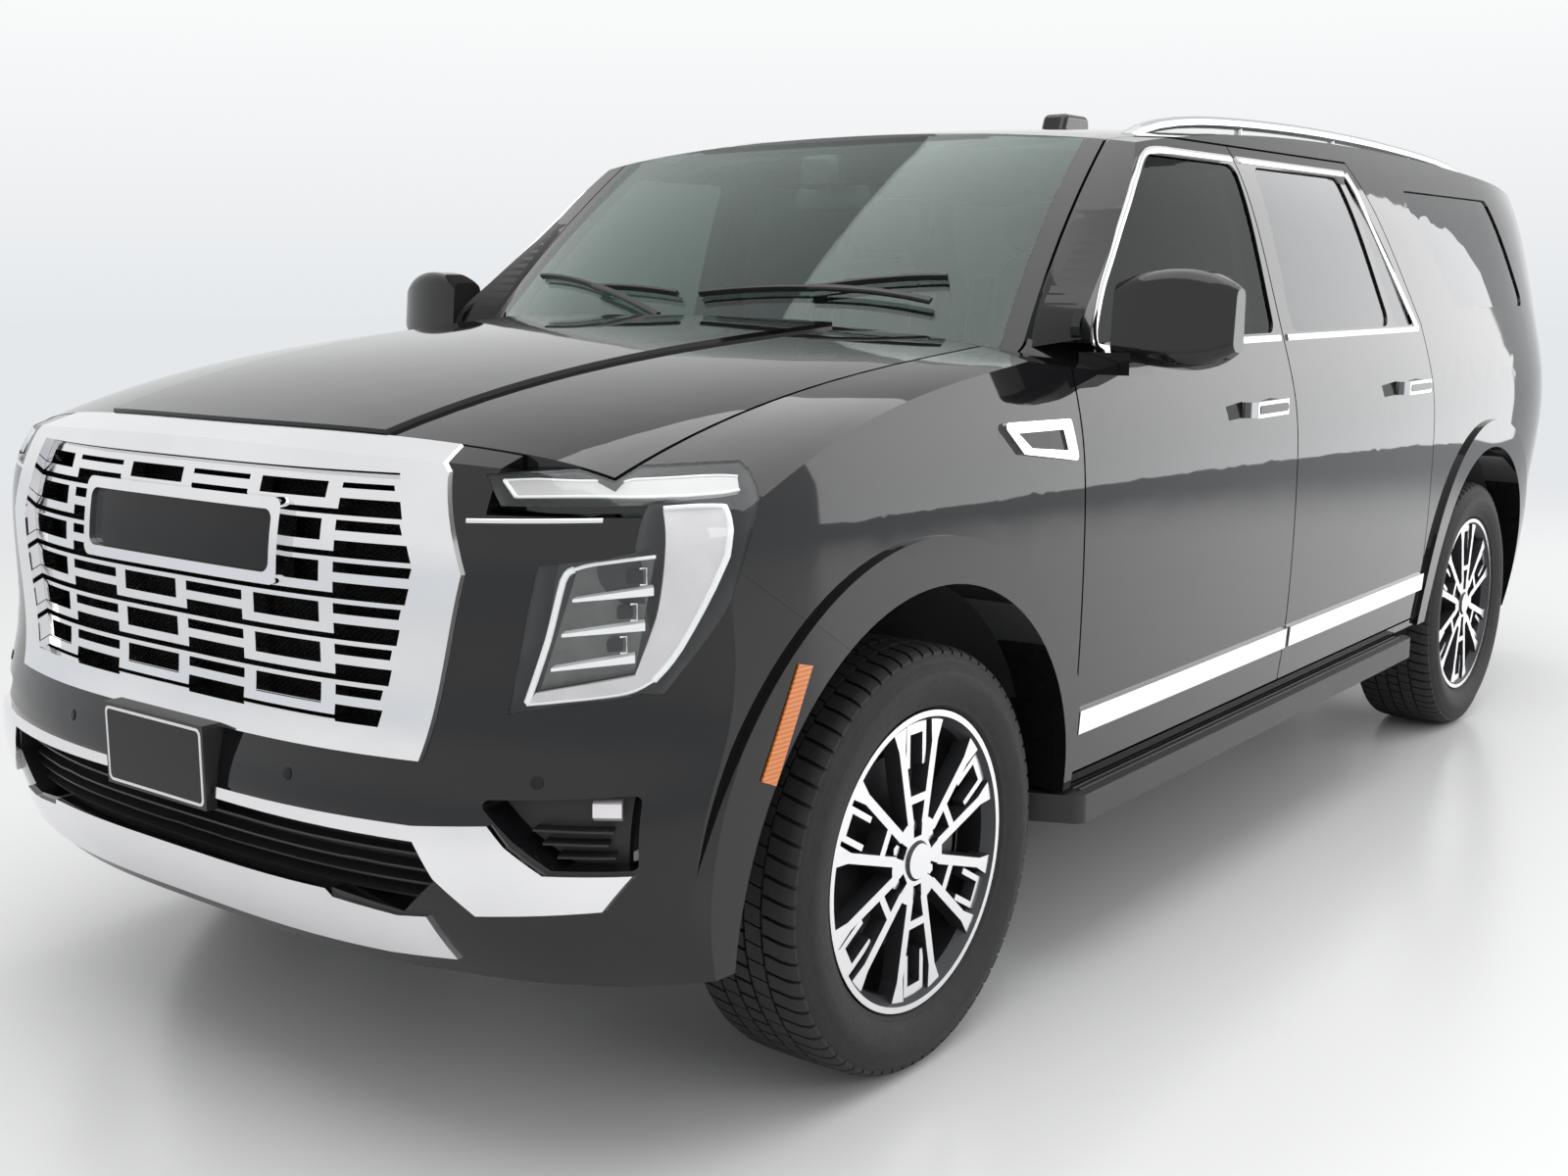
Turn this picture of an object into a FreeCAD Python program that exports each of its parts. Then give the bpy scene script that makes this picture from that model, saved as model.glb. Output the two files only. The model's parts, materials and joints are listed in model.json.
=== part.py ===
"""A long-wheelbase sport utility vehicle, full size, in millimetres.

+X points to the nose, +Y to the left side and +Z up. The origin lies on the ground
under the middle of the body. Every size is a cell of the sheet named Sizes.
"""
import FreeCAD, Part
import math
import os
import Sketcher
from FreeCAD import Placement, Rotation, Vector

doc = FreeCAD.newDocument("suv")
sheet = doc.addObject("Spreadsheet::Sheet", "Sizes")
nodes = []


# Named sizes

class Size(float):
    """A cell of the sheet, or a sum of cells, that remembers its expression."""

    def __new__(cls, value, text):
        made = float.__new__(cls, value)
        made.text = text
        return made

    def joined(self, value, sign, other, swapped=False):
        pair = (text_of(other), self.text) if swapped else (self.text, text_of(other))
        return Size(value, "(%s %s %s)" % (pair[0], sign, pair[1]))

    def __add__(self, other):
        return self.joined(float(self) + float(other), "+", other)

    def __radd__(self, other):
        return self.joined(float(other) + float(self), "+", other, True)

    def __sub__(self, other):
        return self.joined(float(self) - float(other), "-", other)

    def __rsub__(self, other):
        return self.joined(float(other) - float(self), "-", other, True)

    def __mul__(self, other):
        return self.joined(float(self) * float(other), "*", other)

    def __rmul__(self, other):
        return self.joined(float(other) * float(self), "*", other, True)

    def __truediv__(self, other):
        return self.joined(float(self) / float(other), "/", other)

    def __neg__(self):
        return Size(-float(self), "(0 - %s)" % self.text)


def text_of(value):
    return value.text if isinstance(value, Size) else repr(float(value))


class Sheet:
    """The named sizes, read as attributes."""


d = Sheet()


def sizes(**values):
    """Writes each named value into the sheet once and makes it readable as d.name."""
    for name, value in values.items():
        line = len(vars(d)) + 1
        sheet.set("A%d" % line, name)
        sheet.set("B%d" % line, str(value))
        sheet.setAlias("B%d" % line, name)
        setattr(d, name, Size(value, "Sizes." + name))


sizes(
    body_length=5720.0,
    body_width=2060.0,
    roof_height=1944.0,
    wheelbase=3406.0,
    front_overhang=985.0,
    track_width=1740.0,
    sill_height=330.0,
    belt_height=1372.0,
    hood_rear_height=1422.0,
    hood_front_height=1236.0,
    panel_gap=6.0,
    cut_overrun=200.0,
    seat_clearance=0.3,
    rail_low=385.0,
    rail_tall=140.0,
    rail_centre=410.0,
    rail_wide=80.0,
    plate_proud=22.0,
    tail_proud=20.0,
)
nose_x = d.body_length / 2 - d.plate_proud
tail_x = d.tail_proud - d.body_length / 2
half_width = d.body_width / 2
rail_top = d.rail_low + d.rail_tall
front_axle_x = d.body_length / 2 - d.front_overhang
rear_axle_x = front_axle_x - d.wheelbase
half_track = d.track_width / 2
gap = d.panel_gap
overrun = d.cut_overrun


# Shape helpers

def spline(points):
    curve = Part.BSplineCurve()
    curve.interpolate(points)
    return curve.toShape()


def segment(start, end):
    return Part.LineSegment(start, end).toShape()


def rounded_outline(corners, radius):
    """A closed wire through the corners, each rounded with a tangent arc of the radius."""
    count = len(corners)
    starts = []
    ends = []
    middles = []
    for i in range(count):
        corner = corners[i]
        back = (corners[i - 1] - corner)
        ahead = (corners[(i + 1) % count] - corner)
        reach = radius if not isinstance(radius, list) else radius[i]
        half_angle = back.getAngle(ahead) / 2
        cut = reach / math.tan(half_angle)
        limit = 0.45 * min(back.Length, ahead.Length)
        if cut > limit:
            cut = limit
        reach = cut * math.tan(half_angle)
        start = corner + back.normalize() * cut
        end = corner + ahead.normalize() * cut
        inward = (start - corner) + (end - corner)
        centre = corner + inward.normalize() * (reach / math.sin(half_angle))
        middles.append(centre + (corner - centre).normalize() * reach)
        starts.append(start)
        ends.append(end)
    edges = []
    for i in range(count):
        edges.append(Part.Arc(starts[i], middles[i], ends[i]).toShape())
        following = (i + 1) % count
        edges.append(segment(ends[i], starts[following]))
    return Part.Wire(edges)


def side_prism(corners, y_from, y_to, radius=0.0):
    """A prism across the vehicle, from an outline of (x, z) corners."""
    points = [Vector(x, y_from, z) for x, z in corners]
    wire = rounded_outline(points, radius) if radius else Part.makePolygon(points + points[:1])
    return Part.Face(wire).extrude(Vector(0, y_to - y_from, 0))


def front_prism(corners, x_from, x_to, radius=0.0):
    """A prism along the vehicle, from an outline of (y, z) corners."""
    points = [Vector(x_from, y, z) for y, z in corners]
    wire = rounded_outline(points, radius) if radius else Part.makePolygon(points + points[:1])
    return Part.Face(wire).extrude(Vector(x_to - x_from, 0, 0))


def plan_prism(corners, z_from, z_to, radius=0.0):
    """An upright prism, from an outline of (x, y) corners."""
    points = [Vector(x, y, z_from) for x, y in corners]
    wire = rounded_outline(points, radius) if radius else Part.makePolygon(points + points[:1])
    return Part.Face(wire).extrude(Vector(0, 0, z_to - z_from))


def block(x_from, x_to, y_from, y_to, z_from, z_to):
    low = Vector(min(x_from, x_to), min(y_from, y_to), min(z_from, z_to))
    return Part.makeBox(abs(x_to - x_from), abs(y_to - y_from), abs(z_to - z_from), low)


def rod(start, end, radius):
    """A round bar between two points."""
    return Part.makeCylinder(radius, (end - start).Length, start, end - start)


def mirrored(shape):
    return shape.mirror(Vector(0, 0, 0), Vector(0, 1, 0))


def both_sides(shape):
    return Part.makeCompound([shape, mirrored(shape)])


def joined(shapes):
    return shapes[0].fuse(shapes[1:]).removeSplitter()


def keep_largest(shape):
    return max(shape.Solids, key=lambda solid: solid.Volume)


def spread(start, end, share):
    return start + (end - start) * share


# Document helpers

def node(name, shape):
    """A finished sub-part whose shape is made by the code above it."""
    made = doc.addObject("Part::Feature", name)
    made.Shape = shape
    made.Label = name
    nodes.append(made)
    return made


def finished(made, name):
    made.Label = name
    nodes.append(made)
    return made


def bind(made, **lengths):
    for name, value in lengths.items():
        made.setExpression(name, text_of(value))
    return made


def place(made, x, y, z):
    made.setExpression("Placement.Base.x", text_of(x))
    made.setExpression("Placement.Base.y", text_of(y))
    made.setExpression("Placement.Base.z", text_of(z))
    return made


def box(name, x_from, x_to, y_from, y_to, z_from, z_to):
    """A Part box between two corners, bound to the sheet."""
    made = doc.addObject("Part::Box", name)
    bind(made, Length=x_to - x_from, Width=y_to - y_from, Height=z_to - z_from)
    return place(made, x_from, y_from, z_from)


def lateral_cylinder(name, radius, x, z, y_from, y_to):
    """A Part cylinder with its axis across the vehicle, bound to the sheet."""
    made = doc.addObject("Part::Cylinder", name)
    bind(made, Radius=radius, Height=y_to - y_from)
    made.Placement = Placement(Vector(0, 0, 0), Rotation(Vector(1, 0, 0), -90))
    return place(made, x, y_from, z)


def long_cylinder(name, radius, y, z, x_from, x_to):
    """A Part cylinder with its axis along the vehicle, bound to the sheet."""
    made = doc.addObject("Part::Cylinder", name)
    bind(made, Radius=radius, Height=x_to - x_from)
    made.Placement = Placement(Vector(0, 0, 0), Rotation(Vector(0, 1, 0), 90))
    return place(made, x_from, y, z)


def fused(name, parts):
    made = doc.addObject("Part::MultiFuse", name)
    made.Shapes = parts
    return made


def cut(name, base, tool):
    made = doc.addObject("Part::Cut", name)
    made.Base = base
    made.Tool = tool
    return made


def mirror_of(source, name):
    made = doc.addObject("Part::Mirroring", name)
    made.Source = source
    made.Base = Vector(0, 0, 0)
    made.Normal = Vector(0, 1, 0)
    return made


def grouped(name, parts):
    made = doc.addObject("Part::Compound", name)
    made.Links = parts
    return made


# Body surfaces: the side walls

sizes(
    door_wall=105.0,
    frame_wall=58.0,
    nose_wall=55.0,
    hood_wall=38.0,
    roof_wall=42.0,
    tail_wall=85.0,
    flare_rise=13.0,
)
section_height = d.roof_height + overrun / 2 - d.sill_height
# Height above the sill, half width, and the wall there between frame and door, as shares.
side_section_shares = [
    (0.00, 0.955, 1.0), (0.118, 0.984, 1.0), (0.255, 0.998, 1.0), (0.393, 1.001, 1.0),
    (0.505, 0.990, 1.0), (0.608, 0.950, 0.9), (0.736, 0.893, 0.1), (0.844, 0.831, 0.0),
    (0.898, 0.783, 0.0), (1.00, 0.640, 0.0),
]
# Length from the tail, the width there, and how far the foot of the wall tucks in, as shares.
plan_width_shares = [
    (-0.03, 0.785, 0.15), (0.00, 0.828, 0.14), (0.03, 0.870, 0.12), (0.06, 0.912, 0.09),
    (0.09, 0.950, 0.06), (0.13, 0.982, 0.02), (0.20, 0.996, 0.0), (0.36, 1.0, 0.0),
    (0.55, 1.0, 0.0), (0.74, 0.998, 0.0), (0.85, 0.990, 0.0), (0.92, 0.980, 0.0),
    (0.97, 0.955, 0.0), (1.03, 0.905, 0.0),
]
tuck_top_share = 0.40


def side_point(section_shares, plan_shares, grow, wall_share):
    height_share, width_share, frame_share = section_shares
    wall = spread(d.frame_wall, d.door_wall, frame_share)
    tuck = half_width * plan_shares[1] * max(0.0, 1 - height_share / tuck_top_share)
    y = (half_width * width_share - wall * wall_share) * plan_shares[0] - tuck + grow
    return y, d.sill_height + section_height * height_share


def wall_y(z):
    """Half width of the body at a height, amidships."""
    share = (z - d.sill_height) / section_height
    for low, high in zip(side_section_shares, side_section_shares[1:]):
        if share <= high[0]:
            way = (share - low[0]) / (high[0] - low[0])
            return half_width * spread(low[1], high[1], way)
    return half_width * side_section_shares[-1][1]


def side_loft(grow, wall_share, drop):
    """The body's width at every height and station, as one solid."""
    wires = []
    for length_share, plan_share, tuck_share in plan_width_shares:
        x = spread(tail_x, nose_x, length_share)
        left = []
        for section_shares in side_section_shares:
            y, z = side_point(section_shares, (plan_share, tuck_share), grow, wall_share)
            left.append(Vector(x, y, z - drop * (1 - section_shares[0])))
        right = [Vector(p.x, -p.y, p.z) for p in reversed(left)]
        wires.append(Part.Wire([spline(left), segment(left[-1], right[0]),
                                spline(right), segment(right[-1], left[0])]))
    return Part.makeLoft(wires, True, False)


# Body surfaces: nose, hood, windshield, roof and tail

sizes(
    nose_sweep=430.0,
    hood_crown=110.0,
    glass_sweep=150.0,
    glass_top_sweep=40.0,
    roof_crown=75.0,
    tail_sweep=230.0,
    hood_rear_x=1500.0,
    glass_base_x=1452.0,
    glass_base_height=1396.0,
    glass_top_x=815.0,
    glass_top_height=1872.0,
    roof_rear_x=-2625.0,
    roof_rear_height=1872.0,
    hood_front_x=2740.0,
)
# Station across the body, then the share there of the nose sweep, hood crown,
# windshield sweep, roof crown and tail sweep.
crown_shares = [
    (0.00, 0.00, 0.00, 0.00, 0.00, 0.00),
    (0.35, 0.03, 0.05, 0.16, 0.10, 0.04),
    (0.62, 0.17, 0.16, 0.60, 0.34, 0.13),
    (0.80, 0.36, 0.33, 1.10, 0.62, 0.28),
    (0.92, 0.60, 0.56, 1.50, 0.95, 0.55),
    (1.00, 0.93, 0.86, 1.80, 1.30, 1.00),
    (1.12, 1.65, 1.60, 2.30, 2.00, 1.90),
]
# Nose: setback from the front as a share of the sweep, height as a share of the hood's.
nose_line_shares = [
    (0.28, 0.245), (0.07, 0.36), (0.0, 0.47), (0.02, 0.56), (0.07, 0.625), (0.095, 0.78), (0.14, 0.92),
]
# Hood, roof and tail: share of the way along, share of the rise between the ends.
hood_line_shares = [(0.24, 0.42), (0.60, 0.78)]
roof_line_shares = [(0.13, 0.56), (0.38, 1.0), (0.70, 0.80), (0.92, 0.25)]
tail_line_shares = [
    (0.33, 0.787), (0.60, 0.506), (0.84, 0.388), (1.0, 0.295), (0.93, 0.197), (0.60, 0.172),
]


def profile_wire(station, wall_share):
    share, nose, hood, glass, roof, tail = station
    y = half_width * share
    back = d.nose_sweep * nose + d.nose_wall * wall_share
    lower = d.hood_crown * hood + d.hood_wall * wall_share
    roof_lower = d.roof_crown * roof + d.roof_wall * wall_share
    tail_in = d.tail_sweep * tail + d.tail_wall * wall_share
    base_back = d.glass_sweep * glass + d.roof_wall * wall_share
    top_back = d.glass_top_sweep * glass + d.roof_wall * wall_share / 2
    floor_drop = overrun * wall_share

    front = [Vector(nose_x - d.nose_sweep * setback - back, y, d.hood_front_height * height)
             for setback, height in nose_line_shares]
    front[0].z -= floor_drop
    hood_front = Vector(d.hood_front_x - back, y, d.hood_front_height - lower)
    hood_rear = Vector(d.hood_rear_x, y, d.hood_rear_height - lower)
    hood_rise = d.hood_rear_height - d.hood_front_height
    along = [Vector(spread(hood_front.x, hood_rear.x, way), y, hood_front.z + hood_rise * rise)
             for way, rise in hood_line_shares]
    glass_base = Vector(d.glass_base_x - base_back, y, d.glass_base_height - lower)
    glass_top = Vector(d.glass_top_x - top_back, y, d.glass_top_height - roof_lower)
    bulge = (glass_top - glass_base).Length * 0.016
    glass_mid = (glass_base + glass_top) / 2 + Vector(bulge, 0, bulge)
    roof_end = Vector(d.roof_rear_x + tail_in, y, d.roof_rear_height - roof_lower)
    roof_rise = d.roof_height - d.roof_rear_height
    over = [Vector(spread(glass_top.x, roof_end.x, way), y, roof_end.z + roof_rise * rise)
            for way, rise in roof_line_shares]
    tail_line = [Vector(spread(d.roof_rear_x, tail_x, way) + tail_in, y, d.roof_height * height)
                 for way, height in tail_line_shares]
    tail_line[-1].z -= floor_drop
    return Part.Wire([
        spline(front + [hood_front]),
        spline([hood_front] + along + [hood_rear]),
        segment(hood_rear, glass_base),
        spline([glass_base, glass_mid, glass_top]),
        spline([glass_top] + over + [roof_end]),
        spline([roof_end] + tail_line),
        segment(tail_line[-1], front[0]),
    ])


def profile_loft(wall_share):
    """The body seen from the side, carried across its width with its crown."""
    stations = [(-s[0],) + s[1:] for s in reversed(crown_shares[1:])] + crown_shares
    return Part.makeLoft([profile_wire(s, wall_share) for s in stations], True, False)


# Wheel arches and their flares

sizes(
    arch_radius=532.0,
    arch_height=426.0,
    arch_shift=24.0,
    flare_width=92.0,
    flare_shift=22.0,
    arch_depth=505.0,
    liner_thickness=6.0,
)
arches = [front_axle_x + d.arch_shift, rear_axle_x]


def arch_disc(x, radius, y_from, y_to):
    return Part.makeCylinder(radius, y_to - y_from, Vector(x, y_from, d.arch_height), Vector(0, 1, 0))


outer_sides = side_loft(0.0, 0.0, 0.0)
outer_profile = profile_loft(0.0)
inner_sides = side_loft(0.0, 1.0, overrun)
inner_profile = profile_loft(1.0)
inner_body = inner_sides.common(inner_profile)
flare_sides = side_loft(d.flare_rise, 0.0, 0.0)
outer_body = outer_sides.common(outer_profile)
sizes(
    door_front_back=545.0,
    front_door_length=1150.0,
    rear_door_length=1104.0,
)
front_door_x = front_axle_x - d.door_front_back
door_split_x = front_door_x - d.front_door_length
rear_door_x = door_split_x - d.rear_door_length
door_zone = block(rear_door_x - gap, front_door_x + gap, 0.0, half_width + overrun, 0.0, d.roof_height)
flares = []
for x, lean in zip(arches, (1, -1)):
    ring = arch_disc(x + d.flare_shift * lean, d.arch_radius + d.flare_width,
                     half_width - d.door_wall, half_width + overrun)
    band = flare_sides.common(ring).common(outer_profile).cut(door_zone)
    flares += [band, mirrored(band)]
outer_body = outer_body.fuse(flares)
for x in arches:
    well = arch_disc(x, d.arch_radius, d.arch_depth, half_width + overrun)
    outer_body = outer_body.cut([well, mirrored(well)])


def panel(cutter):
    """The part of the body's wall that lies inside the cutter."""
    return cutter.common(outer_body).cut(inner_body)


# Doors: outlines seen from the side

sizes(
    door_bottom=468.0,
    sill_low=440.0,
    door_top=1846.0,
    frame_width=46.0,
    pillar_trim=118.0,
    window_radius=34.0,
    door_radius=30.0,
    glass_thickness=5.0,
    glass_inset=6.0,
    divider_width=44.0,
    vent_lean=176.0,
    vent_width=205.0,
    roof_half=722.0,
    split_draft=0.24,
    rear_draft=0.42,
    blade_width=50.0,
)
window_bottom = d.belt_height + gap
window_top = d.door_top - d.frame_width
door_lean_x = rear_door_x + d.vent_lean + d.frame_width
upper_y = d.roof_half + gap * 2

# The line of the windshield pillar, as shares of the windshield's length and rise.
pillar_foot = (front_door_x, spread(d.belt_height, window_top, 0.10))
pillar_bend = (spread(front_door_x, door_split_x, 0.33), spread(d.belt_height, window_top, 0.83))
pillar_head = (spread(front_door_x, door_split_x, 0.50), d.door_top)

front_door_corners = [
    (front_door_x, d.door_bottom), pillar_foot, pillar_bend, pillar_head,
    (door_split_x + gap / 2, d.door_top), (door_split_x + gap / 2, d.door_bottom),
]
rear_door_corners = [
    (door_split_x - gap / 2, d.door_bottom), (door_split_x - gap / 2, d.door_top),
    (door_lean_x, d.door_top), (rear_door_x, window_bottom), (rear_door_x, d.door_bottom),
]


def grown(corners, amount, y):
    """The same outline in the plane y, moved outwards by an amount on every side."""
    points = [Vector(x, y, z) for x, z in corners]
    wire = Part.makePolygon(points + points[:1])
    return wire.makeOffset2D(amount, 2) if amount else wire


def door_cutter(corners, drafts, amount):
    """A prism through the left wall whose drafted edges come free as the door swings out.

    A hole, which is grown by an amount, also reaches further in than the door that it holds."""
    wires = []
    for y in (upper_y - amount * 3, half_width + overrun):
        shifted = [(x + draft * (half_width - y), z) for (x, z), draft in zip(corners, drafts)]
        wires.append(grown(shifted, amount, y))
    return Part.makeLoft(wires, True, True)


front_drafts = [0.0, 0.0, 0.0, 0.0, d.split_draft, d.split_draft]
rear_drafts = [d.split_draft, d.split_draft, d.rear_draft, d.rear_draft, d.rear_draft]
rear_door_hole = door_cutter(rear_door_corners, rear_drafts, gap)

# Window openings of the doors and the rear quarter
frame = d.frame_width
front_window = [
    (front_door_x - frame * 1.6, window_bottom),
    (pillar_foot[0] - frame * 1.6, pillar_foot[1]),
    (pillar_bend[0] - frame * 0.9, pillar_bend[1] - frame * 0.9),
    (pillar_head[0] - frame * 0.6, window_top),
    (door_split_x + d.pillar_trim / 2, window_top),
    (door_split_x + d.pillar_trim / 2, window_bottom),
]
vent_front_top = door_lean_x + frame + d.vent_width * 0.62
vent_front_bottom = rear_door_x + frame + d.vent_width
rear_window = [
    (door_split_x - d.pillar_trim / 2, window_bottom),
    (door_split_x - d.pillar_trim / 2, window_top),
    (vent_front_top + d.divider_width, window_top),
    (vent_front_bottom + d.divider_width, window_bottom),
]
vent_rear_top = door_lean_x + d.rear_draft * (half_width - wall_y(window_top)) + d.blade_width
vent_window = [
    (vent_front_bottom, window_bottom), (vent_front_top, window_top),
    (vent_rear_top, window_top), (rear_door_x + d.blade_width, window_bottom),
]
sizes(
    quarter_front_top_x=-985.0,
    quarter_front_low_x=-1300.0,
    quarter_rear_low_x=-2125.0,
    quarter_rear_top_x=-1925.0,
    quarter_low=1420.0,
    quarter_top=1786.0,
)
quarter_window = [
    (d.quarter_front_low_x, d.quarter_low), (d.quarter_front_top_x, d.quarter_top),
    (d.quarter_rear_top_x, d.quarter_top), (d.quarter_rear_low_x, d.quarter_low),
]


def window_cutter(corners, radius=None):
    return side_prism(corners, upper_y, half_width + overrun, radius or d.window_radius)


glass_outer = side_loft(-d.glass_inset, 0.0, 0.0)
glass_inner = side_loft(-d.glass_inset - d.glass_thickness, 0.0, overrun)


def side_glass(corners, radius=None):
    """A pane that fills its opening, set in from the outer surface."""
    pane = window_cutter(corners, radius).common(glass_outer).cut(glass_inner)
    return pane


# Windshield outline and the sizes of the roof, hood and tailgate

sizes(
    pillar_wide=46.0,
    windshield_low_half=800.0,
    windshield_top_half=706.0,
    hood_half_rear=868.0,
    hood_half_front=846.0,
    hood_lip_x=2672.0,
    hood_lip_back=118.0,
    tailgate_half_low=788.0,
    tailgate_half_belt=794.0,
    tailgate_half_top=640.0,
    tailgate_bottom=800.0,
    tail_plane_x=-2605.0,
    rear_window_half=676.0,
    rear_window_low=1360.0,
    rear_window_top=1770.0,
)
cowl_z = d.glass_base_height - d.hood_crown * 0.5


def ahead_of_glass(back):
    """Everything behind an arc that runs along the foot of the windshield."""
    side_y = half_width * 0.85
    side_x = d.glass_base_x - d.glass_sweep * 1.15 - back
    z = d.sill_height
    far = tail_x
    edges = [
        Part.Arc(Vector(side_x, -side_y, z), Vector(d.glass_base_x - back, 0, z), Vector(side_x, side_y, z)).toShape(),
        segment(Vector(side_x, side_y, z), Vector(far, side_y, z)),
        segment(Vector(far, side_y, z), Vector(far, -side_y, z)),
        segment(Vector(far, -side_y, z), Vector(side_x, -side_y, z)),
    ]
    return Part.Face(Part.Wire(edges)).extrude(Vector(0, 0, d.roof_height))


def windshield_cutter(shrink):
    """A prism along the vehicle behind the foot of the glass; a negative value enlarges it."""
    top_z = d.glass_top_height - d.roof_crown * 0.16 - shrink
    prism = front_prism([
        (-d.windshield_low_half + shrink, cowl_z), (-d.windshield_top_half + shrink, top_z),
        (d.windshield_top_half - shrink, top_z), (d.windshield_low_half - shrink, cowl_z),
    ], d.glass_top_x - overrun, d.hood_rear_x + overrun, d.window_radius)
    return prism.common(ahead_of_glass(gap + shrink))


front_door_hole = door_cutter(front_door_corners, front_drafts, gap).cut(windshield_cutter(gap - d.pillar_wide))
front_door_panel = panel(door_cutter(front_door_corners, front_drafts, 0))
front_door_panel = keep_largest(front_door_panel.cut([window_cutter(front_window), windshield_cutter(-d.pillar_wide)]))
rear_door_panel = panel(door_cutter(rear_door_corners, rear_drafts, 0))
rear_door_panel = keep_largest(rear_door_panel.cut([window_cutter(rear_window), window_cutter(vent_window)]))

# Mirror housings stand on the front doors
sizes(
    mirror_x=1172.0,
    mirror_height=1425.0,
    mirror_reach=290.0,
    mirror_tall=204.0,
    mirror_deep=148.0,
    mirror_foot=62.0,
)


def mirror_housing():
    """A rounded shell on a short foot that grows out of the door's upper corner."""
    belt_y = half_width * 0.95
    outer_y = belt_y + d.mirror_reach
    wires = []
    # Share of the reach, then shares of the depth and height, and the rise of the centre.
    for reach_share, deep_share, tall_share, rise_share in [
            (0.13, 0.78, 0.80, -0.02), (0.34, 1.0, 0.98, 0.0), (0.75, 1.0, 1.0, 0.0), (1.0, 0.66, 0.66, 0.0)]:
        y = spread(belt_y, outer_y, reach_share)
        deep = d.mirror_deep * deep_share / 2
        tall = d.mirror_tall * tall_share / 2
        mid = d.mirror_height + d.mirror_tall * rise_share
        back = d.mirror_deep * 0.30 * reach_share
        corners = [Vector(d.mirror_x + deep - back, y, mid - tall * 0.85), Vector(d.mirror_x + deep * 0.75 - back, y, mid + tall),
                   Vector(d.mirror_x - deep, y, mid + tall), Vector(d.mirror_x - deep, y, mid - tall)]
        wires.append(rounded_outline(corners, min(deep, tall) * 0.42))
    shell = Part.makeLoft(wires, True, False)
    foot = block(d.mirror_x - d.mirror_foot, d.mirror_x + d.mirror_foot * 0.9,
                 belt_y - d.door_wall * 0.3, spread(belt_y, outer_y, 0.30),
                 d.mirror_height - d.mirror_tall * 0.55, d.mirror_height - d.mirror_tall * 0.32)
    return shell.fuse(foot)


front_door_left = keep_largest(front_door_panel.fuse(mirror_housing()))
node("front_door_left", front_door_left)
node("front_door_right", mirrored(front_door_left))
node("rear_door_left", rear_door_panel)
node("rear_door_right", mirrored(rear_door_panel))
front_glass = side_glass(front_window)
rear_glass = Part.makeCompound([side_glass(rear_window), side_glass(vent_window)])
node("front_glass_left", front_glass)
node("front_glass_right", mirrored(front_glass))
node("rear_glass_left", rear_glass)
node("rear_glass_right", mirrored(rear_glass))

# Handles and the bright strip along the foot of each door

sizes(
    handle_length=215.0,
    handle_tall=38.0,
    handle_stand=46.0,
    handle_grip=16.0,
    handle_back=240.0,
    handle_height=1200.0,
    strip_low=556.0,
    strip_tall=52.0,
    strip_rise=10.0,
)


def door_trim(x_front, x_rear):
    strip_z = d.strip_low + d.strip_tall
    strip = side_prism([(x_front - gap, d.strip_low), (x_front - gap, strip_z),
                        (x_rear + gap, strip_z), (x_rear + gap, d.strip_low)],
                       half_width * 0.85, half_width + overrun)
    raised = side_loft(d.strip_rise, 0.0, 0.0)
    strip = strip.common(raised).cut(outer_sides)
    rear = x_rear + d.handle_back - d.handle_length / 2
    front = rear + d.handle_length
    y_skin = half_width * 0.985
    low = d.handle_height - d.handle_tall / 2
    pull = plan_prism([(rear, y_skin), (rear, y_skin + d.handle_stand), (front, y_skin + d.handle_stand),
                       (front, y_skin)], low, low + d.handle_tall, d.handle_grip)
    grip = plan_prism([(rear + d.handle_grip * 2, y_skin - overrun), (rear + d.handle_grip * 2, y_skin + d.handle_stand - d.handle_grip),
                       (front - d.handle_grip * 2, y_skin + d.handle_stand - d.handle_grip), (front - d.handle_grip * 2, y_skin - overrun)],
                      low - d.handle_tall, low + 2 * d.handle_tall)
    handle = pull.cut(grip).cut(outer_sides)
    return Part.makeCompound(strip.Solids + handle.Solids)


front_trim = door_trim(front_door_x, door_split_x + gap)
rear_trim = door_trim(door_split_x - gap, rear_door_x)
node("front_door_trim_left", front_trim)
node("front_door_trim_right", mirrored(front_trim))
node("rear_door_trim_left", rear_trim)
node("rear_door_trim_right", mirrored(rear_trim))

# Roof, hood, tailgate and the openings that they leave

roof_z = d.roof_height + overrun


def roof_cutter(grow):
    front = d.glass_top_x + overrun
    rear = d.tail_plane_x + gap / 2 - grow
    half = d.roof_half + grow
    return plan_prism([(rear, -half), (front, -half), (front, half), (rear, half)], d.belt_height, roof_z)


def hood_cutter(grow):
    """The hood seen from above, its front edge an arc."""
    z = d.hood_front_height - overrun
    rear_x = d.hood_rear_x - grow
    lip = d.hood_lip_x + grow
    rear_y = d.hood_half_rear + grow
    front_y = d.hood_half_front + grow
    corner_x = lip - d.hood_lip_back
    edges = [
        segment(Vector(rear_x, -rear_y, z), Vector(corner_x, -front_y, z)),
        Part.Arc(Vector(corner_x, -front_y, z), Vector(lip, 0, z), Vector(corner_x, front_y, z)).toShape(),
        segment(Vector(corner_x, front_y, z), Vector(rear_x, rear_y, z)),
        segment(Vector(rear_x, rear_y, z), Vector(rear_x, -rear_y, z)),
    ]
    return Part.Face(Part.Wire(edges)).extrude(Vector(0, 0, roof_z - z))


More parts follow.
